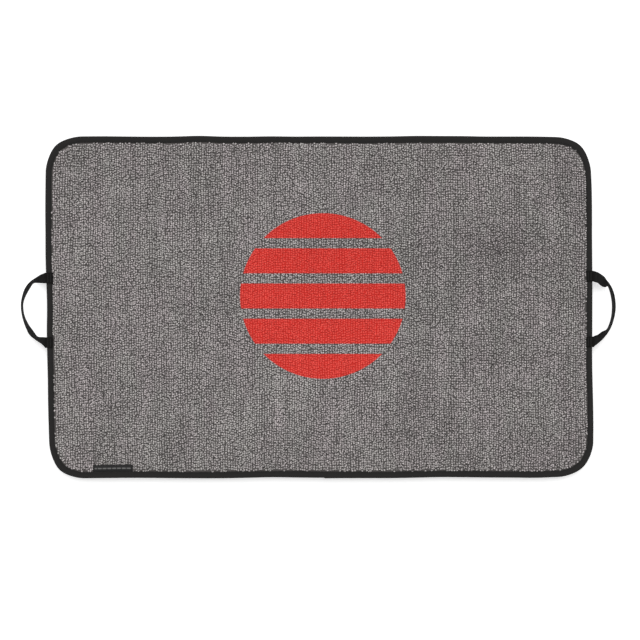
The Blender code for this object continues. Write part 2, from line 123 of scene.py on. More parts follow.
def soft_light():
    """A white world and a wide sun. Level light = world strength plus the sun's
    strength times the cosine of its tilt, over pi."""
    world = bpy.data.worlds.new("studio")
    world.use_nodes = True
    tree = world.node_tree
    backdrop = tree.nodes["Background"]
    seen = tree.nodes.new("ShaderNodeLightPath")
    pick = tree.nodes.new("ShaderNodeMapRange")
    pick.inputs["To Min"].default_value = WORLD_STRENGTH
    tree.links.new(seen.outputs["Is Camera Ray"], pick.inputs["Value"])
    tree.links.new(pick.outputs["Result"], backdrop.inputs["Strength"])
    backdrop.inputs["Color"].default_value = (1, 1, 1, 1)
    bpy.context.scene.world = world
    sun_data = bpy.data.lights.new("sun", "SUN")
    sun_data.energy = SUN_STRENGTH
    sun_data.angle = math.radians(SUN_ANGLE_DEG)
    sun = bpy.data.objects.new("sun", sun_data)
    sun.rotation_euler = (-math.radians(SUN_TILT_DEG), 0, 0)
    bpy.context.scene.collection.objects.link(sun)
    tilt = math.cos(math.radians(SUN_TILT_DEG))
    return WORLD_STRENGTH + SUN_STRENGTH * tilt / math.pi


def pale_floor():
    """One square, a hair below the lowest fabric. Seen level = light + glow."""
    bpy.ops.mesh.primitive_plane_add(size=FLOOR_SIZE, location=(0, 0, -FLOOR_DROP))
    floor = bpy.context.object
    floor.name = "floor"
    paint = bpy.data.materials.new("matt_white_floor")
    paint.use_nodes = True
    shader = paint.node_tree.nodes["Principled BSDF"]
    shader.inputs["Base Color"].default_value = (FLOOR_WHITE, FLOOR_WHITE, FLOOR_WHITE, 1)
    shader.inputs["Roughness"].default_value = 1.0
    shader.inputs["Specular IOR Level"].default_value = 0.0
    shader.inputs["Emission Color"].default_value = (1, 1, 1, 1)
    seen = paint.node_tree.nodes.new("ShaderNodeLightPath")
    glow = paint.node_tree.nodes.new("ShaderNodeMath")
    glow.operation = "MULTIPLY"
    glow.inputs[1].default_value = FLOOR_GLOW
    paint.node_tree.links.new(seen.outputs["Is Camera Ray"], glow.inputs[0])
    paint.node_tree.links.new(glow.outputs[0], shader.inputs["Emission Strength"])
    floor.data.materials.append(paint)


pale_floor()
print("light on a level face:", round(soft_light(), 3))

# %% [markdown]
# Almost every piece here is a grid: one direction runs along the tape, the strap or
# the edge, the other runs across it. A grid turns into quads by index arithmetic on
# whole arrays. Two maps come with it. The cloth map holds real distances in metres,
# so that a weave has its true pitch. The second map folds a long band into rows
# that fill a square, because a band three metres long and three centimetres wide
# would otherwise be a hair line on its own map.

# %% Mesh helpers
CLOTH_MAP = "Cloth"
PAGE_MAP = "OFBake"
PAGE_MARGIN_SHARE = 0.03
WELD = 0.02 * MM


def put_mesh(name, points, faces, finish, body="pad"):
    """Stores points and equal-sided faces in a smooth mesh that rides on a body."""
    mesh = bpy.data.meshes.new(name)
    points = np.asarray(points, np.float32).reshape(-1, 3)
    mesh.vertices.add(len(points))
    mesh.vertices.foreach_set("co", points.ravel())
    mesh.loops.add(faces.size)
    mesh.loops.foreach_set("vertex_index", faces.astype(np.int32).ravel())
    mesh.polygons.add(len(faces))
    mesh.polygons.foreach_set("loop_start", np.arange(0, faces.size, faces.shape[1], dtype=np.int32))
    mesh.polygons.foreach_set("use_smooth", np.ones(len(faces), bool))
    mesh.update(calc_edges=True)
    mesh.materials.append(finish)
    piece = bpy.data.objects.new(name, mesh)
    bpy.context.scene.collection.objects.link(piece)
    if body:
        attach(piece, body)
    return piece


def store_map(piece, name, corners):
    """Writes one texture coordinate per face corner."""
    layer = piece.data.uv_layers.new(name=name, do_init=False)
    layer.uv.foreach_set("vector", np.asarray(corners, np.float32).ravel())


def weld(piece):
    """Merges points that lie on each other, such as the closed end of a strap."""
    bm = bmesh.new()
    bm.from_mesh(piece.data)
    bmesh.ops.remove_doubles(bm, verts=bm.verts, dist=WELD)
    bmesh.ops.dissolve_degenerate(bm, edges=bm.edges, dist=WELD)
    bm.to_mesh(piece.data)
    bm.free()
    return piece


def run_lengths(points, axis):
    """Distance covered along one grid direction: the running sum of the mean step."""
    steps = np.linalg.norm(np.roll(points, -1, axis) - points, axis=2).mean(1 - axis)
    return np.concatenate(([0.0], np.cumsum(steps)))


def surface(name, points, finish, body="pad", ring=False, tube=False, bands=1):
    """A grid of points as quads. A ring joins its last row to its first, a tube its
    last column to its first. Face (i, j) has corners (i, j), (i, j+1), (i+1, j+1),
    (i+1, j), and the page map puts row i at i modulo rows-per-band."""
    rows, columns = points.shape[:2]
    i, j = np.meshgrid(
        np.arange(rows if ring else rows - 1),
        np.arange(columns if tube else columns - 1),
        indexing="ij",
    )
    i, j = i.ravel()[:, None], j.ravel()[:, None]
    down, over = np.array([0, 0, 1, 1]), np.array([0, 1, 1, 0])
    faces = ((i + down) % rows) * columns + (j + over) % columns
    piece = put_mesh(name, points, faces, finish, body)
    across, along = run_lengths(points, 1), run_lengths(points, 0)
    store_map(piece, CLOTH_MAP, np.stack((across[j + over], along[i + down]), -1))
    per_band = math.ceil((i.max() + 1) / bands)
    band, step = i // per_band, i % per_band
    wide = (j + over) / (j.max() + 1)
    page_x = PAGE_MARGIN_SHARE / bands + (step + down) / per_band * (1 - PAGE_MARGIN_SHARE)
    page_y = (band + PAGE_MARGIN_SHARE + wide * (1 - 2 * PAGE_MARGIN_SHARE)) / bands
    store_map(piece, PAGE_MAP, np.stack((page_x, page_y), -1))
    return piece


print("maps on a grid:", CLOTH_MAP, PAGE_MAP)

# %% [markdown]
# Three small tools shape lines and fields of numbers. One draws a smooth line through
# given points. One steps softly from 0 to 1. One makes slow random waves on
# a grid, for the unevenness of sewn things that drifts from place to place and never
# jumps. Every random number comes from one seeded generator, so each run is the same.

# %% Smooth lines and slow waves
rng = np.random.default_rng(11)


def through(points, steps):
    """A smooth line through points: between two of them it is the cubic whose slope
    at each is that of the line between its neighbours."""
    points = np.asarray(points, float)
    before = np.vstack((2 * points[:1] - points[1:2], points[:-1]))[:-1]
    after = np.vstack((points[1:], 2 * points[-1:] - points[-2:-1]))[1:]
    start, end = points[:-1, None], points[1:, None]
    share = (np.arange(steps) / steps)[None, :, None]
    leave, arrive = (end - before[:, None]) / 2, (after[:, None] - start) / 2
    line = (
        start * (2 * share**3 - 3 * share**2 + 1)
        + leave * (share**3 - 2 * share**2 + share)
        + end * (3 * share**2 - 2 * share**3)
        + arrive * (share**3 - share**2)
    )
    return np.vstack((line.reshape(-1, points.shape[1]), points[-1:]))


def smooth_step(x, start, end):
    """0 before start, 1 after end, and 3t^2 - 2t^3 between them."""
    t = np.clip((x - start) / (end - start), 0, 1)
    return t * t * (3 - 2 * t)


def slow_noise(shape, reach):
    """Random waves of spread 1 on a grid: white noise blurred by a Gaussian of the
    given reach in cells. In the spectrum that is a factor exp(-2 (pi reach f)^2)."""
    down = np.fft.fftfreq(shape[0])[:, None] * reach[0]
    over = np.fft.rfftfreq(shape[1])[None] * reach[1]
    damp = np.exp(-2 * math.pi**2 * (down**2 + over**2))
    blurred = np.fft.irfft2(np.fft.rfft2(rng.normal(size=shape)) * damp, shape)
    return (blurred - blurred.mean()) / blurred.std()


print("soft step at each quarter:", smooth_step(np.linspace(0, 1, 5), 0, 1).round(3))

# %% [markdown]
# The pad's outline is a rectangle with round corners. It can be written as a core
# point plus a radius times an outward direction. Along a straight side the core
# slides and the direction holds still, and round a corner the core holds still and
# the direction turns. Both are then straight lines between a few knots, so one call
# of numpy.interp walks the whole outline. Going inwards only shortens the radius.

# %% The pad's outline
HALF_LENGTH, HALF_WIDTH = np.array(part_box("top_binding")[1])[:2]
CORNER_RADIUS = 60.0 * MM
CORE_X, CORE_Y = HALF_LENGTH - CORNER_RADIUS, HALF_WIDTH - CORNER_RADIUS
ARC = math.pi / 2 * CORNER_RADIUS
KNOTS = np.cumsum([0, 2 * CORE_Y, ARC, 2 * CORE_X, ARC, 2 * CORE_Y, ARC, 2 * CORE_X, ARC])
PERIMETER = KNOTS[-1]
KNOT_X = CORE_X * np.array([1, 1, 1, -1, -1, -1, -1, 1, 1])
KNOT_Y = CORE_Y * np.array([-1, 1, 1, 1, 1, -1, -1, -1, -1])
KNOT_TURN = math.pi / 2 * np.array([0, 0, 1, 1, 2, 2, 3, 3, 4])
FAR_MIDDLE, NEAR_MIDDLE = KNOTS[2] + CORE_X, KNOTS[6] + CORE_X


def outline(run):
    """Core points and outward directions at distances run along the outline."""
    run = np.mod(run, PERIMETER)
    turn = np.interp(run, KNOTS, KNOT_TURN)
    core = np.stack((np.interp(run, KNOTS, KNOT_X), np.interp(run, KNOTS, KNOT_Y)), -1)
    return core, np.stack((np.cos(turn), np.sin(turn)), -1)


def inset_of(x, y):
    """How far a place lies inside the outline: the radius less its distance from
    the core rectangle."""
    past_x, past_y = np.abs(x) - CORE_X, np.abs(y) - CORE_Y
    outside = np.hypot(np.maximum(past_x, 0), np.maximum(past_y, 0))
    return CORNER_RADIUS - outside - np.minimum(np.maximum(past_x, past_y), 0)


def band_points(run, insets, heights):
    """Rows along the outline, columns across: a point of column j lies insets[j]
    inside the outline at heights[j]. Either may also vary along the rows."""
    core, out = outline(run)
    insets = np.broadcast_to(insets, (len(run), np.shape(insets)[-1]))
    heights = np.broadcast_to(heights, insets.shape)
    plan = core[:, None] + (CORNER_RADIUS - insets)[..., None] * out[:, None]
    return np.concatenate((plan, heights[..., None]), -1)


print("outline runs, metres:", round(PERIMETER, 3))

# %% [markdown]
# A sewn pad is never quite straight. Each edge drifts in and out by a millimetre or
# two, given at a few places along it and read in millimetres. A corner, where the
# tape is eased round, comes out a little fuller than an arc. One function moves
# points by both, more towards the edges and nothing in the middle, and every piece
# sewn into the pad passes through it, so that they stay together.

# %% Drift of the edges
DRIFT_STEP = 40.0 * MM
DRIFT_PARTS = 8
FAR_DRIFT = (
    -1.2, -0.6, -0.3, -0.7, -1.0, -0.7, 0.4, -0.8, -0.9, -0.4, -0.8, -0.6,
    -0.7, -0.8, -0.5, 0.3, 0.2, 0.0, -0.7, -0.7, -0.8, -1.5, -1.5,
)
NEAR_DRIFT = (
    1.8, 1.3, 0.9, 0.5, 0.7, 1.1, 1.3, 1.2, 0.4, -0.5, -0.1, 0.3,
    0.6, 0.8, 0.9, 0.2, -0.7, -0.5, -0.1, 0.1, 0.4, -1.0, -1.8,
)
LEFT_DRIFT = (-5.5, -4.8, -3.5, -2.5, -2.0, -1.0, -0.4, -0.8, 0.3, 1.7, 1.9, 2.2, 1.9, 1.4, 1.2)
RIGHT_DRIFT = (2.0, 2.3, 2.6, 2.1, 1.1, 0.5, 0.7, 0.8, 0.9, 0.6, 0.3, 0.3, -0.3, -1.9, -1.9)
CORNER_FULLNESS = {(-1, 1): 2.8, (1, 1): 2.3, (-1, -1): 2.7, (1, -1): 1.8}
FULLEST_TURN = math.radians(47.0)
FULLNESS_SPREAD = math.radians(18.0)


def drift(values, place):
    """Outward drift of an edge at a place along it, from values a step apart that
    are centred on the pad's middle."""
    places = (np.arange(len(values)) - (len(values) - 1) / 2) * DRIFT_STEP
    line = through(np.column_stack((places, values)), DRIFT_PARTS)
    return np.interp(place, line[:, 0], line[:, 1]) * MM


def corner_push(x, y, size):
    """A corner is fuller than an arc. Past the core's corner a place moves straight
    away from it, by a bell curve of its turn times the square of its distance."""
    past = np.stack((np.maximum(np.abs(x) - CORE_X, 0), np.maximum(np.abs(y) - CORE_Y, 0)), -1)
    past /= CORNER_RADIUS
    fullness = sum(
        np.where((x * side > 0) & (y * end > 0), value, 0.0) * MM
        for (side, end), value in CORNER_FULLNESS.items()
    )
    turn = np.arctan2(past[..., 1], past[..., 0])
    bell = np.exp(-(((turn - FULLEST_TURN) / FULLNESS_SPREAD) ** 2))
    push = np.zeros(x.shape + (size,))
    away = np.stack((np.sign(x), np.sign(y)), -1) * past
    push[..., :2] = (fullness * bell * np.hypot(past[..., 0], past[..., 1]))[..., None] * away
    return push


def settled(points):
    """Moves places by the edges' drift, times the square of how far out they lie, so
    that the middle stays, and then by the corners' fullness."""
    x, y = points[..., 0], points[..., 1]
    moved = points.copy()
    sideways = np.where(x > 0, drift(RIGHT_DRIFT, y), -drift(LEFT_DRIFT, y))
    lengthways = np.where(y > 0, drift(FAR_DRIFT, x), -drift(NEAR_DRIFT, x))
    moved[..., 0] += sideways * (x / HALF_LENGTH) ** 2
    moved[..., 1] += lengthways * (y / HALF_WIDTH) ** 2
    return moved + corner_push(x, y, points.shape[-1])


print("most drift at the right edge, millimetres:", max(RIGHT_DRIFT))

# %% [markdown]
# The tape's inner edge doesn't follow the outer one at the same distance all round.
# A little less of the tape shows along the short sides and a little more along the
# right half of the far side. The pile starts at this edge and the tape ends at it,
# so both read it from here.

# %% The tape's inner edge
TAPE_SHOWING = 11.0 * MM
TAPE_ALLOWANCE = 0.4 * MM
LEFT_NARROWS = 0.4 * MM
RIGHT_NARROWS = 1.1 * MM
NARROWS_FROM_X, NARROWEST_FROM_END = 370.0 * MM, 10.0 * MM
NARROWS_UNTIL_Y = (200.0 * MM, 245.0 * MM)
FAR_WIDENS = 0.8 * MM
WIDENS_OVER_X = (-20.0 * MM, 60.0 * MM)
WIDENS_OVER_Y = (258.0 * MM, 274.0 * MM)


def tape_edge(x, y):
    """Inset of the tape's inner edge: what shows less an allowance, less what it is
    narrower by at the short sides, plus what it is wider by on the far side."""
    straight = 1 - smooth_step(np.abs(y), *NARROWS_UNTIL_Y)
    start, end = NARROWS_FROM_X, HALF_LENGTH - NARROWEST_FROM_END
    left, right = smooth_step(-x, start, end), smooth_step(x, start, end)
    narrower = (LEFT_NARROWS * left + RIGHT_NARROWS * right) * straight
    wider = FAR_WIDENS * smooth_step(x, *WIDENS_OVER_X) * smooth_step(y, *WIDENS_OVER_Y)
    return TAPE_SHOWING - TAPE_ALLOWANCE - narrower + wider


print("tape shows on the left, millimetres:", round(tape_edge(-HALF_LENGTH, 0.0) / MM, 2))

# %% [markdown]
# Every finish below is a small tree of nodes on the Principled shader. A helper
# adds a node and fills its sockets, with a number or with another node's output, so
# that a tree reads from top to bottom. Patterns read the cloth map or the object's
# own coordinates, never the camera's. Numbers that are the same all over go
# straight on the shader's own sockets. In the names below a relief is the depth of a
# bump and its strength, and mottle, clouds and wear are each a noise's features a
# metre and its detail.

# %% Material helpers


def new_finish(name, roughness, sheen=0.0, specular=0.5):
    """A material with its tree and its shader."""
    finish = bpy.data.materials.new(name)
    finish.use_nodes = True
    shader = finish.node_tree.nodes["Principled BSDF"]
    shader.inputs["Roughness"].default_value = roughness
    shader.inputs["Sheen Weight"].default_value = sheen
    shader.inputs["Specular IOR Level"].default_value = specular
    return finish, finish.node_tree, shader


def add(tree, kind, inputs=(), **settings):
    """A new node. inputs are pairs of a socket's name or number and what feeds it."""
    made = tree.nodes.new("ShaderNode" + kind)
    for key, value in settings.items():
        setattr(made, key, value)
    for key, value in inputs:
        if isinstance(value, bpy.types.NodeSocket):
            tree.links.new(value, made.inputs[key])
        else:
            made.inputs[key].default_value = value
    return made


def maths(tree, operation, *values):
    """The output of one Math node."""
    return add(tree, "Math", list(enumerate(values)), operation=operation).outputs[0]


def mixed(tree, factor, first, second, blend="MIX"):
    """Two colours mixed by a factor."""
    inputs = [(0, factor), (6, first), (7, second)]
    return add(tree, "Mix", inputs, data_type="RGBA", blend_type=blend).outputs[2]


def ramped(tree, factor, *stops):
    """A colour ramp through pairs of place and grey level or colour."""
    made = add(tree, "ValToRGB", [("Fac", factor)])
    ramp = made.color_ramp
    while len(ramp.elements) < len(stops):
        ramp.elements.new(0.5)
    for element, (place, colour) in zip(ramp.elements, stops):
        element.position = place
        element.color = colour if np.ndim(colour) else (colour, colour, colour, 1)
    return made.outputs["Color"]


def cloth_axes(tree):
    """Distances across and along a piece, in millimetres, from its cloth map."""
    coordinates = add(tree, "UVMap", uv_map=CLOTH_MAP)
    apart = add(tree, "SeparateXYZ", [(0, coordinates.outputs["UV"])])
    return [maths(tree, "MULTIPLY", apart.outputs[k], 1 / MM) for k in (0, 1)]


def waves(tree, distance, pitch, phase=0.0):
    """A sine from 0 to 1 that repeats every pitch, in the units of distance."""
    turns = maths(tree, "MULTIPLY_ADD", distance, 2 * math.pi / pitch, phase)
    return maths(tree, "MULTIPLY_ADD", maths(tree, "SINE", turns), 0.5, 0.5)


def noise(tree, scale, detail=2.0):
    """Noise on the object's own coordinates, scale features a metre."""
    place = add(tree, "TexCoord").outputs["Object"]
    inputs = [("Vector", place), ("Scale", scale), ("Detail", detail)]
    return add(tree, "TexNoise", inputs).outputs["Fac"]


def raise_by(tree, shader, height, depth, strength=1.0):
    """Feeds a height, 0 to 1 over depth in metres, to the shader's normal."""
    bump = add(tree, "Bump", [("Height", height), ("Distance", depth), ("Strength", strength)])
    tree.links.new(bump.outputs["Normal"], shader.inputs["Normal"])


def colour_by(tree, shader, colour):
    """Feeds a colour output to the shader."""
    tree.links.new(colour, shader.inputs["Base Color"])


# %% [markdown]
# The landing face is a loop pile carpet in heather yarn. Light and dark fibres are
# spun together, so neighbouring loops differ, and the ground between them is dark.
# From a step away that reads as salt and pepper. The height of the pile follows the
# edge: it is crushed under the tape, rises within one loop, and then swells slowly
# to a low crown.

# %% The pile's height
PILE_LOW, PILE_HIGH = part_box("carpet_pile")[0][2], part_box("carpet_pile")[1][2]
CRUSHED_HEIGHT = 1.5 * MM
SHOULDER_WIDTH = 3.5 * MM
CROWN_RISE = 1.2 * MM
CROWN_WIDTH = 33.0 * MM


def pile_top(x, y):
    """Height of the loops' tops: crushed at the tape, up a quarter sine to the
    shoulder, up a second, longer quarter sine to the crown."""
    past_tape = inset_of(x, y) - tape_edge(x, y)
    first = np.sin(np.clip(past_tape / SHOULDER_WIDTH, 0, 1) * math.pi / 2)
    second = np.sin(np.clip((past_tape - SHOULDER_WIDTH) / CROWN_WIDTH, 0, 1) * math.pi / 2)
    shoulder = PILE_HIGH - CROWN_RISE - PILE_LOW - CRUSHED_HEIGHT
    return PILE_LOW + CRUSHED_HEIGHT + shoulder * first + CROWN_RISE * second


print("pile above its backing, millimetres:", round((PILE_HIGH - PILE_LOW) / MM, 2))

# %% [markdown]
# The mark in the middle is a plain disc of five level bars. Its edge is a formula:
# a place is dyed where it lies within the disc's radius and not in a gap. Dye soaks
# through the pile, so the loops and the ground below share the formula, which is
# built from maths nodes on the object's own coordinates.

# %% The dyed mark
MARK_CENTRE = (6.0 * MM, 18.0 * MM, 0.0)
MARK_RADIUS = 138.0 * MM
MARK_BARS = 5
MARK_GAP = 17.0 * MM
DYE_EDGE = 0.8 * MM


def dyed(tree):
    """1 inside the disc and off its gaps, 0 elsewhere. A bar is where the distance
    from the nearest bar's middle line is less than half of the pitch less the gap."""
    place = add(tree, "TexCoord").outputs["Object"]
    offset = add(tree, "VectorMath", [(0, place), (1, MARK_CENTRE)], operation="SUBTRACT")
    apart = add(tree, "SeparateXYZ", [(0, offset.outputs[0])])
    x, y = apart.outputs[0], apart.outputs[1]
    squares = maths(tree, "ADD", maths(tree, "MULTIPLY", x, x), maths(tree, "MULTIPLY", y, y))
    inside = maths(tree, "SUBTRACT", MARK_RADIUS, maths(tree, "SQRT", squares))
    pitch = (2 * MARK_RADIUS + MARK_GAP) / MARK_BARS
    above = maths(tree, "MODULO", maths(tree, "ADD", y, MARK_RADIUS + MARK_GAP / 2), pitch)
    from_line = maths(tree, "ABSOLUTE", maths(tree, "SUBTRACT", above, pitch / 2))
    bar = maths(tree, "SUBTRACT", (pitch - MARK_GAP) / 2, from_line)
    depth = maths(tree, "DIVIDE", maths(tree, "MINIMUM", inside, bar), DYE_EDGE)
    return add(tree, "Clamp", [("Value", maths(tree, "ADD", depth, 0.5))]).outputs[0]


print("bars across the mark:", MARK_BARS)

# %% [markdown]
# The yarn's tone comes from two places. Each point of a loop has a tone of its own,
# stored in the mesh: the yarn is plied from a light and a dark end, so one half of a
# loop is lighter than the other. Strands within the yarn differ as well: a Voronoi
# pattern of cells two thirds of a millimetre wide gives every strand a random number.
# A slow noise adds the faint warm and cool patches of a real dye lot, and a fine
# noise raises the fibres.

# %% Yarn finish
YARN_DARK = (0.024, 0.0212, 0.0206, 1)
YARN_LIGHT = (0.705, 0.661, 0.652, 1)
DYE_DARK = (0.62, 0.037, 0.029, 1)
DYE_LIGHT = (0.97, 0.114, 0.092, 1)
GROUND_DARK = (0.078, 0.071, 0.069, 1)
GROUND_GREY = (0.140, 0.129, 0.126, 1)
DYE_LOT_COOL = (0.984, 1.004, 0.988, 1)
DYE_LOT_WARM = (1.012, 0.984, 1.004, 1)
PATCHES_A_METRE = (34.0, 16.0, 16.0)
STRANDS_A_METRE = 1500.0
STRAND_SHARE = 2.15
FIBRES_A_METRE, FIBRE_RELIEF = 1800.0, (0.25 * MM, 0.6)
GROUND_FLECKS_A_METRE = 600.0
GROUND_GRAIN_A_METRE, GROUND_GRAIN_DEPTH = 900.0, 0.3 * MM


def yarn_finish():
    """Grey heather yarn, red where it is dyed. Tone = the loop's tone plus the
    strand's, less half of the strand's share."""
    finish, tree, shader = new_finish("heather_yarn", roughness=0.95, sheen=0.1, specular=0.1)
    loop = add(tree, "Attribute", attribute_name="tone").outputs["Fac"]
    place = add(tree, "TexCoord").outputs["Object"]
    cells = add(tree, "TexVoronoi", [("Vector", place), ("Scale", STRANDS_A_METRE)])
    strand = add(tree, "SeparateColor", [(0, cells.outputs["Color"])]).outputs[0]
    base = maths(tree, "SUBTRACT", loop, STRAND_SHARE / 2)
    tone = maths(tree, "MULTIPLY_ADD", strand, STRAND_SHARE, base)
    spread = add(tree, "VectorMath", [(0, place), (1, PATCHES_A_METRE)], operation="MULTIPLY")
    lot = add(tree, "TexNoise", [("Vector", spread.outputs[0]), ("Scale", 1.0)]).outputs["Fac"]
    patches = ramped(tree, lot, (0.35, DYE_LOT_COOL), (0.65, DYE_LOT_WARM))
    grey = mixed(tree, 1.0, mixed(tree, tone, YARN_DARK, YARN_LIGHT), patches, "MULTIPLY")
    red = mixed(tree, tone, DYE_DARK, DYE_LIGHT)
    colour_by(tree, shader, mixed(tree, dyed(tree), grey, red))
    raise_by(tree, shader, noise(tree, FIBRES_A_METRE), *FIBRE_RELIEF)
    return finish


def ground_finish():
    """The dark woven ground that shows between the loops, dyed along with them."""
    finish, tree, shader = new_finish("carpet_ground", roughness=1.0, specular=0.05)
    grey = mixed(tree, noise(tree, GROUND_FLECKS_A_METRE), GROUND_DARK, GROUND_GREY)
    colour_by(tree, shader, mixed(tree, dyed(tree), grey, DYE_DARK))
    raise_by(tree, shader, noise(tree, GROUND_GRAIN_A_METRE), GROUND_GRAIN_DEPTH)
    return finish


YARN = yarn_finish()
GROUND = ground_finish()
print("finishes:", YARN.name, GROUND.name)

# %% [markdown]
# A plate with a rounded outline, such as the carpet's ground, a foam sheet or the
# base, is a stack of rings. Each ring is the outline at some inset and height, and
# the first and last rings shrink to a point in the middle. Welding those points
# closes the plate.

# %% Plates
PLATE_STATIONS = 480


def plate(name, levels, finish):
    """Rings from the bottom's middle round the edge to the top's middle. A level is
    a share of the full plan, an inset and a height: plan = share times the core
    point plus the radius less the inset outwards."""
    core, out = outline(np.arange(PLATE_STATIONS) / PLATE_STATIONS * PERIMETER)
    rows = [
        np.column_stack((share * (core + (CORNER_RADIUS - inset) * out), np.full(PLATE_STATIONS, height)))
        for share, inset, height in levels
    ]
    points = settled(np.stack(rows, 1))
    return weld(surface(name, points, finish, ring=True))


print("points round a plate:", PLATE_STATIONS)

# %% [markdown]
# The carpet's ground is the cloth that the loops are tufted through. It lies a
# loop's thickness below their tops and follows the same crown, so that the dark gaps
# between the loops are equally deep everywhere. Its insets are close together where
# the pile climbs from under the tape.

# %% The carpet's ground
GROUND_BELOW_TOP = 2.3 * MM
GROUND_THICKNESS = 0.4 * MM
GROUND_INSETS = (6.0, 9.0, 11.0, 11.6, 12.4, 13.4, 14.6, 20.0, 30.0, 40.0, 48.0, 59.0)
GROUND_INNER_SHARES = (0.6, 0.3, 0.0)


def carpet_ground():
    """A thin crowned sheet. Its top is the pile's less a loop's thickness, and never
    lower than a hair above the backing."""
    insets = np.array(GROUND_INSETS) * MM
    x = insets - HALF_LENGTH
    tops = np.maximum(pile_top(x, 0 * x) - GROUND_BELOW_TOP, PILE_LOW + 2 * GROUND_THICKNESS)
    under = [(1.0, inset, z - GROUND_THICKNESS) for inset, z in zip(insets[::-1], tops[::-1])]
    over = [(1.0, inset, z) for inset, z in zip(insets, tops)]
    middle = [(share, insets[-1], tops[-1]) for share in GROUND_INNER_SHARES]
    sunk = [(share, inset, z - GROUND_THICKNESS) for share, inset, z in middle[::-1]]
    piece = plate("carpet_ground", sunk + under + over + middle, GROUND)
    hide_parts("carpet_pile")
    return piece


ground = carpet_ground()
print("carpet ground faces:", len(ground.data.polygons))

# %% [markdown]
# A loop of pile is a short fat arch of yarn. It is made once as a unit bead and then
# copied some thirty thousand times with numpy, so at this size a bead needs only a
# few dozen faces. The same bead, long and thin, also makes every stitch of thread. A
# helper turns many copies into one mesh and gives each a cell of its own on the map.

# %% A bead and its copies
BEAD_SIDES = 6
BEAD_RINGS = 3
BEAD_REACH = 0.66


def unit_bead():
    """A bead 1 long, 1 wide and 1 high along Y: rings of a sphere between two poles.
    Returns its points, its triangles and each triangle corner's place on a map."""
    lift = np.linspace(-1, 1, BEAD_RINGS + 2)[1:-1] * BEAD_REACH
    turn = np.arange(BEAD_SIDES) / BEAD_SIDES * 2 * math.pi
    reach = np.sqrt(1 - lift**2) / 2
    rings = [
        np.column_stack((r * np.sin(turn), np.full(BEAD_SIDES, a / (2 * BEAD_REACH)), r * np.cos(turn)))
        for r, a in zip(reach, lift)
    ]
    points = np.vstack((*rings, [(0, -0.5, 0)], [(0, 0.5, 0)]))
    first, last = len(points) - 2, len(points) - 1
    step = 1 / (BEAD_RINGS + 1)
    triangles, places = [], []
    for k in range(BEAD_SIDES):
        n = (k + 1) % BEAD_SIDES
        u, v = k / BEAD_SIDES, (k + 1) / BEAD_SIDES
        triangles.append((first, k, n))
        places.append([((u + v) / 2, 0.0), (u, step), (v, step)])
        for ring in range(BEAD_RINGS - 1):
            a, b = ring * BEAD_SIDES, (ring + 1) * BEAD_SIDES
            low, high = (ring + 1) * step, (ring + 2) * step
            triangles += [(a + k, b + k, b + n), (a + k, b + n, a + n)]
            places += [[(u, low), (u, high), (v, high)], [(u, low), (v, high), (v, low)]]
        top = (BEAD_RINGS - 1) * BEAD_SIDES
        triangles.append((top + k, last, top + n))
        places.append([(u, 1 - step), ((u + v) / 2, 1.0), (v, 1 - step)])
    return points, np.array(triangles), np.array(places)


BEAD, BEAD_TRIANGLES, BEAD_PLACES = unit_bead()


def bead_copies(name, points, finish, margin):
    """Many beads as one mesh. Copy k's triangles count on from k times the bead's
    points, and it has cell k of a square page, less a margin round the cell."""
    count = len(points)
    faces = (np.arange(count) * len(BEAD))[:, None, None] + BEAD_TRIANGLES[None]
    piece = put_mesh(name, points, faces.reshape(-1, 3), finish)
    across = math.ceil(math.sqrt(count))
    cell = np.stack(np.divmod(np.arange(count), across)[::-1], -1)[:, None, None]
    store_map(piece, PAGE_MAP, (cell + margin + (1 - 2 * margin) * BEAD_PLACES[None]) / across)
    return piece


print("one bead, points and triangles:", len(BEAD), len(BEAD_TRIANGLES))

# %% [markdown]
# A tufting machine sews its yarns side by side, so the loops stand in ribs across
# the pad and one yarn makes a whole rib. Ribs and rows meander a little and every
# loop is nudged, because a perfect lattice would shimmer like a sieve. The tone
# drifts from patch to patch and from rib to rib, and it falls a little towards the
# right, so that the pile is darker there.

# %% Places and tones of the loops
RIB_PITCH = 3.89 * MM
LOOP_PITCH = 3.96 * MM
LOOP_FROM_TAPE = 1.2 * MM
RIB_MEANDER = 0.6 * MM
RIB_MEANDER_REACH, ROW_MEANDER_REACH = (5, 2), (2, 5)
START_SPREAD = 1.15 * MM
NUDGE = 0.34 * MM
MIDDLE_TONE = 0.5
TONE_SPREAD = 0.03
TONE_DRIFT, TONE_DRIFT_REACH = 0.04, (5, 5)
RIB_TONE, RIB_TONE_REACH = 0.06, (9, 0.3)
TONE_BANDS, TONE_BANDS_REACH = 0.03, (12, 50)
TONE_FALL, TONE_FALLS_OVER_X = 0.09, (-200.0 * MM, 400.0 * MM)


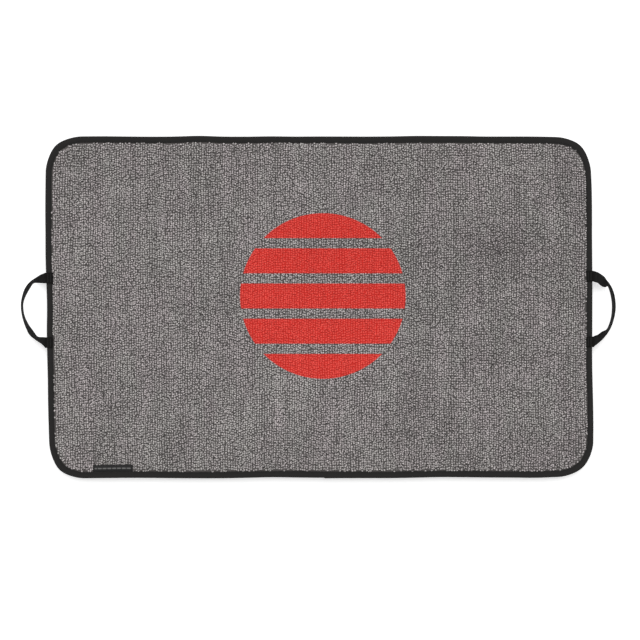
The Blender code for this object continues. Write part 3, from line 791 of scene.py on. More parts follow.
def loop_places():
    """Middle and tone of each loop. Place = rib and row times their pitches, plus the
    rib's start, a meander and a nudge, and only places clear of the tape stay. Tone =
    the middle, plus a spread for each loop, a drift by patches, one along each rib
    and one in broad bands, less the fall to the right."""
    ribs = int(HALF_LENGTH / RIB_PITCH)
    loops = int(HALF_WIDTH / LOOP_PITCH) + 1
    ribs_x, rows_y = np.arange(-ribs, ribs + 1) * RIB_PITCH, np.arange(-loops, loops + 1) * LOOP_PITCH
    x, y = np.meshgrid(ribs_x, rows_y)
    starts = rng.normal(0, START_SPREAD, x.shape[1])
    x = x + rng.normal(0, NUDGE, x.shape) + RIB_MEANDER * slow_noise(x.shape, RIB_MEANDER_REACH)
    y = y + starts + rng.normal(0, NUDGE, y.shape) + RIB_MEANDER * slow_noise(y.shape, ROW_MEANDER_REACH)
    tone = MIDDLE_TONE + rng.normal(0, TONE_SPREAD, x.shape)
    tone += TONE_DRIFT * slow_noise(x.shape, TONE_DRIFT_REACH)
    tone += RIB_TONE * slow_noise(x.shape, RIB_TONE_REACH)
    falls = TONE_FALL * smooth_step(x, *TONE_FALLS_OVER_X)
    tone += TONE_BANDS * slow_noise(x.shape, TONE_BANDS_REACH) - falls
    keep = inset_of(x, y) > tape_edge(x, y) + LOOP_FROM_TAPE
    return x[keep], y[keep], tone[keep]


print("ribs of loops across the pad:", 2 * int(HALF_LENGTH / RIB_PITCH) + 1)

# %% [markdown]
# The sewn ends of the handles and the label lie on the pile and press it flat. The
# tops of the loops under them are lowered to a hair below the fabric. The label's
# height is a formula, because both the loops here and the label's own mesh, further
# down, need it.

# %% Pressed loops
LOOP_WIDTH = 3.75 * MM
TAB_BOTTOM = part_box("left_handle_upper_tab")[0][2]
FLAP_LOW, FLAP_HIGH = (np.array(c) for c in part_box("label_flap"))
LABEL_LEFT_SHIFT, LABEL_RIGHT_SHIFT = 1.2 * MM, 3.2 * MM
FLAP_LOW[0] += LABEL_LEFT_SHIFT
FLAP_HIGH[0] += LABEL_RIGHT_SHIFT
LABEL_THICKNESS = 0.7 * MM
LABEL_RISE = 5.0 * MM
LABEL_CLIMB_SHARE, LABEL_SPREAD_SHARE = 0.8, 0.2
PRESS_CLEARANCE = 0.3 * MM


def label_middle(y):
    """Height of the label's middle: most of its climb is a quarter sine up the
    pile's shoulder, and the rest is spread over its whole depth."""
    climb = np.sin(np.clip((y - FLAP_LOW[1]) / LABEL_RISE, 0, 1) * math.pi / 2)
    low, high = FLAP_LOW[2] + LABEL_THICKNESS / 2, FLAP_HIGH[2] - LABEL_THICKNESS / 2
    flat = smooth_step(y, FLAP_LOW[1], FLAP_HIGH[1])
    return low + (high - low) * (LABEL_CLIMB_SHARE * climb + LABEL_SPREAD_SHARE * flat)


def pressed(x, y, tops):
    """Tops of the loops, at most the underside of a sewn handle end or of the label
    less a clearance, where a loop lies within its own reach of one of them."""
    room = LOOP_WIDTH / 2
    under_tab = np.zeros(len(x), bool)
    for tab in ("left_handle_upper", "left_handle_lower", "right_handle_upper", "right_handle_lower"):
        low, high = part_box(f"{tab}_tab")
        beside = (x > low[0] - room) & (x < high[0] + room)
        under_tab |= beside & (y > low[1] - room) & (y < high[1] + room)
    tops = np.where(under_tab, np.minimum(tops, TAB_BOTTOM - PRESS_CLEARANCE), tops)
    room = LOOP_WIDTH / 3
    under_label = (x > FLAP_LOW[0] - room) & (x < FLAP_HIGH[0] + room) & (y < FLAP_HIGH[1])
    below = label_middle(y) - LABEL_THICKNESS / 2 - PRESS_CLEARANCE
    return np.where(under_label, np.minimum(tops, below), tops)


print("label spans, millimetres:", ((FLAP_HIGH - FLAP_LOW)[:2] / MM).round(1))

# %% [markdown]
# Now each copy of the bead gets its turn, its size, its height and its tone. The yarn
# is plied from a light and a dark end, so the light half of each loop faces a way of
# its own. The copies are stored in eight bands of the same carpet, so that no mesh
# grows too large.

# %% Loops of yarn
LOOP_LENGTH = 4.3 * MM
LOOP_HEIGHT = 2.8 * MM
LOOP_DROOP = 0.7 * MM
LOOP_TURN = math.radians(18.0)
LOOP_SIZE_SPREAD, LOOP_SIZE_LIMITS = 0.06, (0.8, 1.2)
LOOP_TOP_SPREAD = 0.2 * MM
PLY_CONTRAST = 0.6
PLY_SHARPNESS = 4
LOOP_BANDS = 8
LOOP_PAGE_MARGIN = 0.08


def loop_shapes(x, y):
    """Points of every loop: the bead times the loop's size, with its ends drawn down
    by the square of their distance from its middle, turned, and set on its place."""
    count = len(x)
    turn = rng.normal(0, LOOP_TURN, count)
    uneven = rng.normal(1, LOOP_SIZE_SPREAD, (count, 3)).clip(*LOOP_SIZE_LIMITS)
    size = np.array([LOOP_WIDTH, LOOP_LENGTH, LOOP_HEIGHT]) * uneven
    local = BEAD[None] * size[:, None]
    local[..., 2] -= LOOP_DROOP * (2 * BEAD[None, :, 1]) ** 2
    cosine, sine = np.cos(turn)[:, None], np.sin(turn)[:, None]
    points = np.empty_like(local)
    points[..., 0] = x[:, None] + local[..., 0] * cosine - local[..., 1] * sine
    points[..., 1] = y[:, None] + local[..., 0] * sine + local[..., 1] * cosine
    tops = pressed(x, y, pile_top(x, y) + rng.normal(0, LOOP_TOP_SPREAD, count))
    points[..., 2] = (tops - size[:, 2] / 2)[:, None] + local[..., 2]
    return points


def loop_tones(tone):
    """Tone of every point: the loop's own plus or minus the ply's contrast, by how
    far the point lies from the loop's middle towards its light ply."""
    ply = rng.uniform(0, 2 * math.pi, len(tone))[:, None]
    lean = BEAD[:, 0] * np.cos(ply) + BEAD[:, 1] * np.sin(ply)
    return tone[:, None] + PLY_CONTRAST * np.clip(PLY_SHARPNESS * lean, -1, 1)


def yarn_loops():
    """All the loops, cut into bands by their place along Y."""
    x, y, tone = loop_places()
    points, tones = loop_shapes(x, y), loop_tones(tone)
    pieces = []
    for band, members in enumerate(np.array_split(np.argsort(y, kind="stable"), LOOP_BANDS), 1):
        shape = settled(points[members])
        piece = bead_copies(f"carpet_loops_{band}", shape, YARN, LOOP_PAGE_MARGIN)
        layer = piece.data.attributes.new("tone", "FLOAT", "POINT")
        layer.data.foreach_set("value", tones[members].astype(np.float32).ravel())
        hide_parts("carpet_pile")
        pieces.append(piece)
    return len(x), pieces


count, loops = yarn_loops()
print("loops of yarn:", count)

# %% [markdown]
# Folded grosgrain tape binds both edges. It is a flat matt ribbon with fine ribs
# across it. The ribs follow the cloth map, so they keep their pitch round the corners,
# and the mottling and the fuzz follow the object's own coordinates.

# %% Tape finish
TAPE_GREY = (0.0215, 0.0206, 0.0200, 1)
TAPE_DARK = (0.0132, 0.0126, 0.0121, 1)
TAPE_RIB = 1.05
TAPE_MOTTLE, TAPE_MOTTLE_SHARE = (70.0, 4.0), 0.35
TAPE_FUZZ_A_METRE, TAPE_FUZZ_HEIGHT = 2600.0, 0.3
TAPE_FUZZ_STOPS = ((0.3, 0.85), (0.7, 1.15))
TAPE_RELIEF = (0.12 * MM, 0.7)


def tape_finish():
    """Ribbed ribbon. Colour = a mottled dark grey, lighter on the ribs, times a fuzz
    between 0.85 and 1.15, and the height is the rib plus a little of the fuzz."""
    finish, tree, shader = new_finish("grosgrain_tape", roughness=0.85, sheen=0.06, specular=0.15)
    across, along = cloth_axes(tree)
    rib = waves(tree, along, TAPE_RIB)
    mottled = mixed(tree, noise(tree, *TAPE_MOTTLE), TAPE_DARK, TAPE_GREY)
    colour = mixed(tree, rib, mixed(tree, TAPE_MOTTLE_SHARE, mottled, TAPE_DARK), TAPE_GREY)
    fuzz = ramped(tree, noise(tree, TAPE_FUZZ_A_METRE), *TAPE_FUZZ_STOPS)
    colour_by(tree, shader, mixed(tree, 1.0, colour, fuzz, "MULTIPLY"))
    height = maths(tree, "MULTIPLY_ADD", noise(tree, TAPE_FUZZ_A_METRE), TAPE_FUZZ_HEIGHT, rib)
    raise_by(tree, shader, height, *TAPE_RELIEF)
    return finish


TAPE = tape_finish()
print("finish:", TAPE.name)

# %% [markdown]
# The tape's section is an open line that comes in under the edge, turns up round it
# and lies back on top, a little sunk where the seam holds it. The line is given a
# thickness and carried round the outline as a closed tube. The tape's two ends meet
# on the near long side, where one end lies over the other. That is a step in the
# outward offset that dies away along the overlap.

# %% The two tapes
TAPE_STATIONS = 1500
TAPE_BANDS = 12
TAPE_THICKNESS = 1.0 * MM
TAPE_TIP_SHARE = 0.35
TAPE_FOLD_ENDS = 6.0 * MM
LINE_STEPS = 2
TOP_JOINT_X, BOTTOM_JOINT_X = 8.0 * MM, -210.0 * MM
JOINT_RISE, JOINT_LIFT_SHARE = 1.0 * MM, 0.3
JOINT_FADE = 42.0 * MM
JOINT_REACHES_IN = 9.0 * MM
WANDER, WANDER_BEND = 0.25 * MM, 2
WANDER_LENGTHS = (19.0 * MM, 130.0 * MM)


def thick_line(line, thickness):
    """A closed section round an open line in the plane: the line moved half the
    thickness to its left, and back half the thickness to its right, with the two
    ends pulled out to a rounded tip."""
    slope = np.gradient(line, axis=0)
    slope /= np.linalg.norm(slope, axis=1)[:, None]
    left = np.column_stack((-slope[:, 1], slope[:, 0])) * thickness / 2
    tips = slope[[0, -1]] * thickness * np.array([[-TAPE_TIP_SHARE], [TAPE_TIP_SHARE]])
    upper, lower = line + left, line - left
    return np.vstack((upper, line[-1:] + tips[1:], lower[::-1], line[:1] + tips[:1]))


def narrowed(run, insets):
    """Insets on a tape, with its inner part drawn outwards where it is narrow."""
    core, out = outline(run)
    missing = TAPE_SHOWING - tape_edge(*(core + CORNER_RADIUS * out).T)
    return insets - missing[:, None] * smooth_step(insets, TAPE_FOLD_ENDS, TAPE_SHOWING)


def tape(name, node, line, joint_x):
    """Carries the thick line round the outline. Inset = the line's, less the joint's
    step on the outer part, plus a wander of two nested sines on the inner edge."""
    run = np.arange(TAPE_STATIONS) / TAPE_STATIONS * PERIMETER
    section = thick_line(through(np.array(line) * MM, LINE_STEPS), TAPE_THICKNESS)
    past_joint = np.mod(run - NEAR_MIDDLE - joint_x, PERIMETER)
    step = JOINT_RISE * np.exp(-past_joint / JOINT_FADE)
    short, long = WANDER_LENGTHS
    wander = WANDER * np.sin(run / short + WANDER_BEND * np.sin(run / long))
    out_share = 1 - smooth_step(section[:, 0], 0.0, JOINT_REACHES_IN)
    in_share = smooth_step(section[:, 0], TAPE_FOLD_ENDS, TAPE_SHOWING)
    insets = narrowed(run, section[:, 0]) - step[:, None] * out_share + wander[:, None] * in_share
    upper = section[:, 1] > section[:, 1].mean()
    heights = section[:, 1] + JOINT_LIFT_SHARE * step[:, None] * upper
    points = settled(band_points(run, insets, heights))
    piece = surface(name, points, TAPE, ring=True, tube=True, bands=TAPE_BANDS)
    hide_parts(node)
    return piece


TOP_LINE = (
    (9.6, 24.95), (6.0, 24.85), (2.6, 25.0), (0.9, 26.0), (0.55, 27.9),
    (0.8, 29.9), (2.0, 31.15), (4.6, 31.65), (7.2, 31.55), (8.8, 31.25), (10.0, 31.4), (11.0, 31.2),
)
BOTTOM_LINE = (
    (11.0, 0.55), (7.0, 0.55), (4.6, 0.6), (3.2, 1.1), (3.0, 2.3), (3.2, 3.6),
    (4.4, 4.25), (7.0, 4.3), (9.6, 4.25),
)
top_tape = tape("edge_tape_top", "top_binding", TOP_LINE, TOP_JOINT_X)
bottom_tape = tape("edge_tape_bottom", "bottom_binding", BOTTOM_LINE, BOTTOM_JOINT_X)
print("tape faces:", len(top_tape.data.polygons), len(bottom_tape.data.polygons))

# %% [markdown]
# A lockstitch shows as a row of short thread segments that dip into the tape at
# both ends. Each segment is the pile's bead again, long and thin, laid along the
# seam. Black thread on black tape is quiet, but it catches light and keeps the seam
# line alive.

# %% Thread
THREAD_BLACK = (0.0070, 0.0068, 0.0066, 1)
THREAD_LIGHT = (0.0180, 0.0175, 0.0170, 1)
THREAD_PLY = 0.9
THREAD_RELIEF = (0.08 * MM, 0.6)
STITCH_PITCH = 3.6 * MM
STITCH_LENGTH = 3.0 * MM
STITCH_THICKNESS = 0.55 * MM
STITCH_PAGE_MARGIN = 0.1
TOP_SEAM_PLACE = (8.8 * MM, 31.9 * MM)
BOTTOM_SEAM_PLACE = (7.1 * MM, 4.95 * MM)


def thread_finish():
    """Twisted black thread: slanted plies by a wave over the object's axes."""
    finish, tree, shader = new_finish("black_thread", roughness=0.6, specular=0.25)
    place = add(tree, "SeparateXYZ", [(0, add(tree, "TexCoord").outputs["Object"])])
    slant = maths(tree, "ADD", place.outputs[0], place.outputs[1])
    ply = waves(tree, maths(tree, "MULTIPLY", slant, 1 / MM), THREAD_PLY)
    colour_by(tree, shader, mixed(tree, ply, THREAD_BLACK, THREAD_LIGHT))
    raise_by(tree, shader, ply, *THREAD_RELIEF)
    return finish


THREAD = thread_finish()


def stitches(name, middles, directions, length=STITCH_LENGTH):
    """Beads laid along their directions. A bead's Y goes forward, its X to the side,
    which is forward x up, and its Z upwards, which is side x forward."""
    forward = directions / np.linalg.norm(directions, axis=1)[:, None]
    side = np.cross(forward, (0, 0, 1))
    side /= np.linalg.norm(side, axis=1)[:, None]
    up = np.cross(side, forward)
    local = BEAD * np.array([STITCH_THICKNESS, length, STITCH_THICKNESS])
    points = (
        middles[:, None]
        + local[None, :, :1] * side[:, None]
        + local[None, :, 1:2] * forward[:, None]
        + local[None, :, 2:] * up[:, None]
    )
    return bead_copies(name, points, THREAD, STITCH_PAGE_MARGIN)


def seam(name, node, inset, height):
    """Stitches a pitch apart along the outline, at one inset and height."""
    count = round(PERIMETER / STITCH_PITCH)
    run = (np.arange(count) + 0.5) / count * PERIMETER
    insets = narrowed(run, np.array([inset]))
    ends = [settled(band_points(run + s * STITCH_LENGTH / 4, insets, [height]))[:, 0] for s in (-1, 1)]
    piece = stitches(name, (ends[0] + ends[1]) / 2, ends[1] - ends[0])
    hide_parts(node)
    return piece


seam("tape_seam_top", "top_binding_thread", *TOP_SEAM_PLACE)
seam("tape_seam_bottom", "bottom_binding_thread", *BOTTOM_SEAM_PLACE)
print("stitches in the seams:", 2 * round(PERIMETER / STITCH_PITCH))

# %% [markdown]
# The shell is coated nylon in a plain oxford weave. Its side walls run between the
# two tapes. Sewn cloth is a little fuller than the edge it is sewn to, so it bulges
# between its seams and puckers along them. The wall starts as a half sine that bows
# outwards, with slow ripples along it.

# %% Shell
NYLON_BLACK = (0.0135, 0.0135, 0.0140, 1)
NYLON_LIGHT = (0.0290, 0.0290, 0.0300, 1)
WEAVE_PITCH = 0.8
NYLON_CLOUDS, NYLON_CLOUD_SHARE = (35.0, 5.0), 0.6
NYLON_CHECK_SHARE = 0.5
NYLON_RELIEF = (0.10 * MM, 0.5)


def nylon_finish():
    finish, tree, shader = new_finish("oxford_nylon", roughness=0.58, specular=0.4)
    across, along = cloth_axes(tree)
    weft, warp = waves(tree, along, WEAVE_PITCH), waves(tree, across, WEAVE_PITCH)
    check = maths(tree, "MULTIPLY", weft, warp)
    checks = maths(tree, "MULTIPLY", check, NYLON_CHECK_SHARE)
    shade = maths(tree, "MULTIPLY_ADD", noise(tree, *NYLON_CLOUDS), NYLON_CLOUD_SHARE, checks)
    colour_by(tree, shader, mixed(tree, shade, NYLON_BLACK, NYLON_LIGHT))
    raise_by(tree, shader, check, *NYLON_RELIEF)
    return finish


NYLON = nylon_finish()
print("finish:", NYLON.name)

# %% [markdown]
# Then the wall is simulated. Its top and bottom rows are pinned where the tapes hold
# them. A negative shrink makes the cloth three percent longer than the place it is
# sewn into, and a slight pressure from the foam pushes it out, so the spare length
# finds its own puckers. The shape of the last frame is kept, with every point held
# within a few millimetres of where it began.

# %% Cloth simulation
CLOTH_FRAMES = 24
CLOTH_SLACK = 0.03
CLOTH_PRESSURE = 2.0
CLOTH_LIMIT = 2.5 * MM
CLOTH_STEPS = 6
CLOTH_MASS = 0.2
CLOTH_STIFFNESS = 0.2


def cloth_modifier(piece, pinned):
    """A light, limp cloth without weight, pinned at the given points."""
    pins = piece.vertex_groups.new(name="pins")
    pins.add([int(point) for point in pinned], 1.0, "REPLACE")
    cloth = piece.modifiers.new("cloth", "CLOTH")
    cloth.point_cache.frame_end = CLOTH_FRAMES
    settings = cloth.settings
    settings.vertex_group_mass = pins.name
    settings.effector_weights.gravity = 0
    settings.shrink_min = -CLOTH_SLACK
    settings.use_pressure = True
    settings.uniform_pressure_force = CLOTH_PRESSURE
    settings.quality = CLOTH_STEPS
    settings.mass = CLOTH_MASS
    settings.bending_stiffness = CLOTH_STIFFNESS
    return cloth


def let_settle(piece, pinned):
    """Runs the cloth, then moves each point by the way it went, at most the limit."""
    cloth = cloth_modifier(piece, pinned)
    scene = bpy.context.scene
    for number in range(1, CLOTH_FRAMES + 1):
        scene.frame_set(number)
    seen = piece.evaluated_get(bpy.context.evaluated_depsgraph_get())
    before, after = (np.empty(3 * len(piece.data.vertices), np.float32) for _ in range(2))
    piece.data.vertices.foreach_get("co", before)
    seen.data.vertices.foreach_get("co", after)
    moved = (after - before).reshape(-1, 3)
    length = np.linalg.norm(moved, axis=1)
    moved *= (CLOTH_LIMIT / np.maximum(length, CLOTH_LIMIT))[:, None]
    piece.modifiers.remove(cloth)
    scene.frame_set(1)
    piece.data.vertices.foreach_set("co", before + moved.ravel())
    piece.data.update()
    return float(np.percentile(length, 95))


print("frames of cloth:", CLOTH_FRAMES)

# %% [markdown]
# The way round the pad is longer than cloth is wide, so the wall is two strips. Each
# runs from the far seam round one end to the near seam, where it laps over the other
# strip. The outermost columns of its grid turn out into the flanges that the tapes
# hold. Once it has settled, a Solidify modifier gives the cloth its thickness.

# %% Side walls
WALL_INSET = 11.0 * MM
WALL_THICKNESS = 0.9 * MM
WALL_CLOTH_SHARE = 0.8
WALL_STATIONS = 900
WALL_COLUMNS = 15
WALL_BULGE = 1.6 * MM
WALL_LAP = 7.0 * MM
LAP_RISE, LAP_STEP = 1.2 * MM, 2.0 * MM
LOW_FLANGE_INSET, HIGH_FLANGE_INSET = 3.9 * MM, 1.8 * MM
WALL_BANDS = 8
BOW_POWER = 0.7
RIPPLE_HEIGHTS, RIPPLE_PHASES = (0.10, 0.35), (0, 6)
RIPPLE_LENGTHS = np.array([4.7, 7.9, 13.1, 22.3, 41.0]) * MM


def wall_points(start, bottom, top):
    """Half of the wall as a grid. Inset = the web's less a bow, the ripples and the
    lap. Ripple = a sum of sines along the wall, each of a height drawn at random."""
    run = np.linspace(0, PERIMETER / 2 + WALL_LAP, WALL_STATIONS)
    lap = LAP_RISE * smooth_step(run - PERIMETER / 2, -LAP_STEP, 0)
    share = np.linspace(0, 1, WALL_COLUMNS)
    heights = bottom + WALL_THICKNESS + share * (top - bottom - 2 * WALL_THICKNESS)
    heights = np.concatenate(([bottom + WALL_THICKNESS / 2], heights, [top - WALL_THICKNESS / 2]))
    ripple = sum(
        rng.uniform(*RIPPLE_HEIGHTS) * MM * np.sin(run / length + rng.uniform(*RIPPLE_PHASES))
        for length in RIPPLE_LENGTHS
    )
    bow = np.sin(share * math.pi)
    insets = WALL_INSET - WALL_BULGE * bow - ripple[:, None] * bow**BOW_POWER
    low, high = np.full(len(run), LOW_FLANGE_INSET), np.full(len(run), HIGH_FLANGE_INSET)
    insets = np.column_stack((low, insets, high))
    return settled(band_points(start + run, insets - lap[:, None], heights))


def side_wall(name, node, start):
    """One strip of the wall: its two outer columns on each side and its two end rows
    are pinned, and the rest settles."""
    low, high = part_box(node)
    points = wall_points(start, low[2], high[2])
    piece = surface(name, points, NYLON, bands=WALL_BANDS)
    index = np.arange(points.shape[0] * points.shape[1]).reshape(points.shape[:2])
    sides, ends = (index[:, :2], index[:, -2:]), (index[:2], index[-2:])
    held = np.concatenate([part.ravel() for part in (*sides, *ends)])
    went = let_settle(piece, np.unique(held))
    print(name, "settled by, millimetres:", round(went / MM, 2))
    wall = piece.modifiers.new("thickness", "SOLIDIFY")
    wall.thickness = WALL_THICKNESS * WALL_CLOTH_SHARE
    wall.offset = -1.0
    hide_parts(node)
    return piece


left_wall = side_wall("side_cloth_left", "side_wall_left", FAR_MIDDLE)
right_wall = side_wall("side_cloth_right", "side_wall_right", NEAR_MIDDLE)
print("wall faces:", len(left_wall.data.polygons), len(right_wall.data.polygons))

# %% [markdown]
# The base is one more sheet of the same nylon, and the pad stands on it. It lies flat
# on the floor, and its rim is lifted over the part of the tape that is folded under,
# because the two are sewn together there.

# %% Base
BASE_THICKNESS = 0.9 * MM
BASE_LIFT = 1.3 * MM
BASE_EDGE = 3.9 * MM
BASE_FLAT = 30.0 * MM
BASE_INNER_SHARES = (0.0, 0.5)
BASE_RIM = (
    (BASE_EDGE, 1.0), (6.0 * MM, 1.0), (8.6 * MM, 1.0), (10.2 * MM, 0.5), (11.8 * MM, 0.0), (BASE_FLAT, 0.0),
)


def base_cloth():
    """The bottom cloth. Its height is the lift times a share that falls from 1 at the
    rim to 0 past the tape."""
    under = [(1.0, inset, BASE_LIFT * share) for inset, share in BASE_RIM]
    over = [(1.0, inset, z + BASE_THICKNESS) for _, inset, z in under]
    inner = [(share, BASE_FLAT, 0.0) for share in BASE_INNER_SHARES]
    levels = inner + under[::-1] + over + [(s, inset, BASE_THICKNESS) for s, inset, _ in inner[::-1]]
    piece = plate("base_cloth", levels, NYLON)
    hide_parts("base_panel")
    return piece


base_piece = base_cloth()
print("base faces:", len(base_piece.data.polygons))

# %% [markdown]
# Inside the shell lie a soft open-cell foam that takes the fall, a firm closed-cell
# foam that spreads it, and the latex-coated backing of the carpet. None of them is
# seen on the finished pad, but a cut-away view shows them, so each is a plate that
# fills its place, with rounded edges and a finish of small cells.

# %% Foam and backing
FOAM_CREAM = ((0.60, 0.56, 0.43, 1), (0.70, 0.66, 0.53, 1))
FOAM_GREY = ((0.055, 0.057, 0.060, 1), (0.100, 0.103, 0.108, 1))
BACKING_GREY = ((0.045, 0.043, 0.041, 1), (0.075, 0.072, 0.069, 1))
SOFT_CELLS_A_METRE, FIRM_CELLS_A_METRE, LATEX_CELLS_A_METRE = 900.0, 1100.0, 500.0
CELL_DEPTH = 0.4 * MM
SOFT_FOAM_ROUNDING, FIRM_FOAM_ROUNDING, BACKING_ROUNDING = 2.0 * MM, 1.5 * MM, 0.4 * MM
PLATE_INNER_SHARES = (0.0, 0.35, 0.7)
RIM_RINGS = 7


def cell_finish(name, colours, cells):
    """Foam and latex: open cells as a Voronoi pattern on the object's own axes."""
    finish, tree, shader = new_finish(name, roughness=0.9, specular=0.2)
    place = add(tree, "TexCoord").outputs["Object"]
    pores = add(tree, "TexVoronoi", [("Vector", place), ("Scale", cells)]).outputs["Distance"]
    colour_by(tree, shader, mixed(tree, pores, *colours))
    raise_by(tree, shader, pores, CELL_DEPTH)
    return finish


def rounded_levels(low, high, edge, rounding):
    """Levels of a flat plate whose rim is half an ellipse: at angle a the inset is
    the edge plus rounding times (1 - cos a) and the height half the plate's times
    sin a from its middle."""
    turn = np.linspace(-math.pi / 2, math.pi / 2, RIM_RINGS)
    middle, half = (low + high) / 2, (high - low) / 2
    rim = [(1.0, edge + rounding * (1 - math.cos(a)), middle + half * math.sin(a)) for a in turn]
    under, over = ([(share, edge, z) for share in PLATE_INNER_SHARES] for z in (low, high))
    return under + rim + over[::-1]


def foam_sheet(name, node, finish, rounding):
    """One sheet in its node's place: the levels of a rounded plate between the
    node's heights, out to the node's own edge."""
    low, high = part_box(node)
    edge = HALF_LENGTH - high[0]
    piece = plate(name, rounded_levels(low[2], high[2], edge, rounding), finish)
    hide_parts(node)
    return piece


CREAM = cell_finish("soft_foam_cells", FOAM_CREAM, SOFT_CELLS_A_METRE)
GREY = cell_finish("firm_foam_cells", FOAM_GREY, FIRM_CELLS_A_METRE)
BACKING = cell_finish("latex_backing", BACKING_GREY, LATEX_CELLS_A_METRE)
soft_sheet = foam_sheet("soft_foam_sheet", "foam_lower", CREAM, SOFT_FOAM_ROUNDING)
firm_sheet = foam_sheet("firm_foam_sheet", "foam_upper", GREY, FIRM_FOAM_ROUNDING)
backing_sheet = foam_sheet("backing_sheet", "carpet_backing", BACKING, BACKING_ROUNDING)
print("sheets inside:", soft_sheet.name, firm_sheet.name, backing_sheet.name)

# %% [markdown]
# The handles are flat webbing. Its warp yarns run along it in ridges, and the weft
# ties them down in turn, so each ridge is broken half a step from its neighbour's.
# Between the sewn ends its black is painted paler, a painted sheen for the free
# webbing, which catches more light than the pressed ends. The cloth map gives the
# distance from either end in millimetres, so the change can start just past them.

# %% Webbing finish
WEBBING_DARK = (0.0022, 0.0020, 0.0018, 1)
WEBBING_LIGHT = (0.0085, 0.0077, 0.0071, 1)
WARP_PITCH = 1.6
WEFT_PITCH = 1.3
WEBBING_WEAR, WEBBING_WEAR_GAIN = (150.0, 3.0), 1.6
WEBBING_RELIEF = (0.28 * MM, 0.8)
# Factor that paints the free webbing paler: a painted sheen, because the free part catches more light than
# the pressed ends.
FREE_WEBBING_PAINTED_SHEEN = (2.4, 2.6, 2.8, 1)
SEWN_END, SEWN_FADE = 13.0, 5.0


def webbing_finish(name, length):
    """Flat woven webbing: warp ridges along it, broken by the weft. The height is
    a warp wave plus a weft wave whose phase turns by half on every other ridge. Past
    the sewn ends, which the cloth map gives in millimetres, its colour is painted
    paler: a painted sheen on the free part."""
    finish, tree, shader = new_finish(name, roughness=0.75, sheen=0.02, specular=0.12)
    across, along = cloth_axes(tree)
    ridge = waves(tree, across, WARP_PITCH)
    lean = maths(tree, "MULTIPLY", across, WEFT_PITCH / WARP_PITCH / 2)
    weft = waves(tree, maths(tree, "ADD", along, lean), WEFT_PITCH)
    height = maths(tree, "MULTIPLY_ADD", weft, 0.5, maths(tree, "MULTIPLY", ridge, 0.5))
    worn = maths(tree, "MULTIPLY", noise(tree, *WEBBING_WEAR), height)
    shade = maths(tree, "MULTIPLY", worn, WEBBING_WEAR_GAIN)
    cloth = mixed(tree, shade, WEBBING_DARK, WEBBING_LIGHT)
    from_end = maths(tree, "MINIMUM", along, maths(tree, "SUBTRACT", length, along))
    # Past the sewn ends the colour is painted paler: a painted sheen on the free webbing.
    reach = [("Value", from_end), ("From Min", SEWN_END), ("From Max", SEWN_END + SEWN_FADE)]
    free_share = add(tree, "MapRange", reach).outputs["Result"]
    painted_sheen = mixed(tree, 1.0, cloth, FREE_WEBBING_PAINTED_SHEEN, "MULTIPLY")
    colour_by(tree, shader, mixed(tree, free_share, cloth, painted_sheen))
    raise_by(tree, shader, height, *WEBBING_RELIEF)
    return finish


# %% [markdown]
# Each handle is one length of webbing. Its two ends are sewn flat on the tape and the
# free part arches out, turning on edge in the middle. The plan of both edges is a
# list of shares, as in the imported part: out and along for the outer
# edge, then for the inner one. A cubic line runs through them, the inner edge hangs
# below the outer one by what is left of the webbing's width, and the strap's section
# is carried along the two edges.

# %% Handles
HANDLES = {-1: "left_handle", 1: "right_handle"}
WEBBING_WIDTH = 17.8 * MM
WEBBING_THICKNESS = 1.8 * MM
WEBBING_ROUNDING = 0.55 * MM
SELVEDGE_LEAST = 0.16
HANDLE_SAG = 3.9 * MM
LOOP_STEPS = 8
TAB_STEPS = 10
STRAP_COLUMNS = 9
STRAP_BANDS = 4
HINGE_OUT = 1.2 * MM
HINGE = HALF_LENGTH + HINGE_OUT
TAB_PAST_TAPE = 1.2 * MM
LEFT_LOOP_SHARES = (
    (0.000, 1.000, 0.000, 1.000), (0.128, 0.969, 0.137, 1.010), (0.256, 0.932, 0.274, 1.017),
    (0.478, 0.839, 0.519, 1.031), (0.603, 0.786, 0.627, 0.989), (0.745, 0.715, 0.717, 0.875),
    (0.913, 0.566, 0.854, 0.685), (1.011, 0.395, 0.974, 0.487), (1.067, 0.217, 1.054, 0.276),
    (1.067, 0.037, 1.057, 0.055), (1.023, -0.142, 1.014, -0.163), (0.945, -0.317, 0.917, -0.369),
    (0.837, -0.486, 0.785, -0.562), (0.700, -0.649, 0.623, -0.739), (0.436, -0.780, 0.456, -0.946),
    (0.311, -0.832, 0.354, -0.996), (0.160, -0.900, 0.180, -0.999), (0.000, -1.000, 0.000, -1.000),
)
RIGHT_LOOP_SHARES = (
    (0.000, 1.000, 0.000, 1.000), (0.120, 0.978, 0.105, 0.965), (0.248, 0.945, 0.211, 0.945),
    (0.480, 0.850, 0.396, 0.825), (0.577, 0.772, 0.560, 0.800), (0.673, 0.688, 0.696, 0.837),
    (0.817, 0.550, 0.785, 0.667), (0.919, 0.384, 0.846, 0.467), (0.968, 0.210, 0.886, 0.264),
    (0.980, 0.034, 0.897, 0.058), (0.944, -0.141, 0.882, -0.147), (0.872, -0.313, 0.842, -0.351),
    (0.768, -0.479, 0.768, -0.548), (0.605, -0.643, 0.645, -0.744), (0.433, -0.774, 0.427, -0.823),
    (0.227, -0.889, 0.231, -0.935), (0.110, -0.944, 0.110, -0.965), (0.000, -1.000, 0.000, -1.000),
)


def handle_drift(side):
    """How far a handle moves with the edge: the mean drift of its two sewn ends."""
    ends = np.array([np.mean(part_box(f"{HANDLES[side]}_{end}_tab"), 0) for end in ("upper", "lower")])
    return (settled(ends) - ends).mean(0)


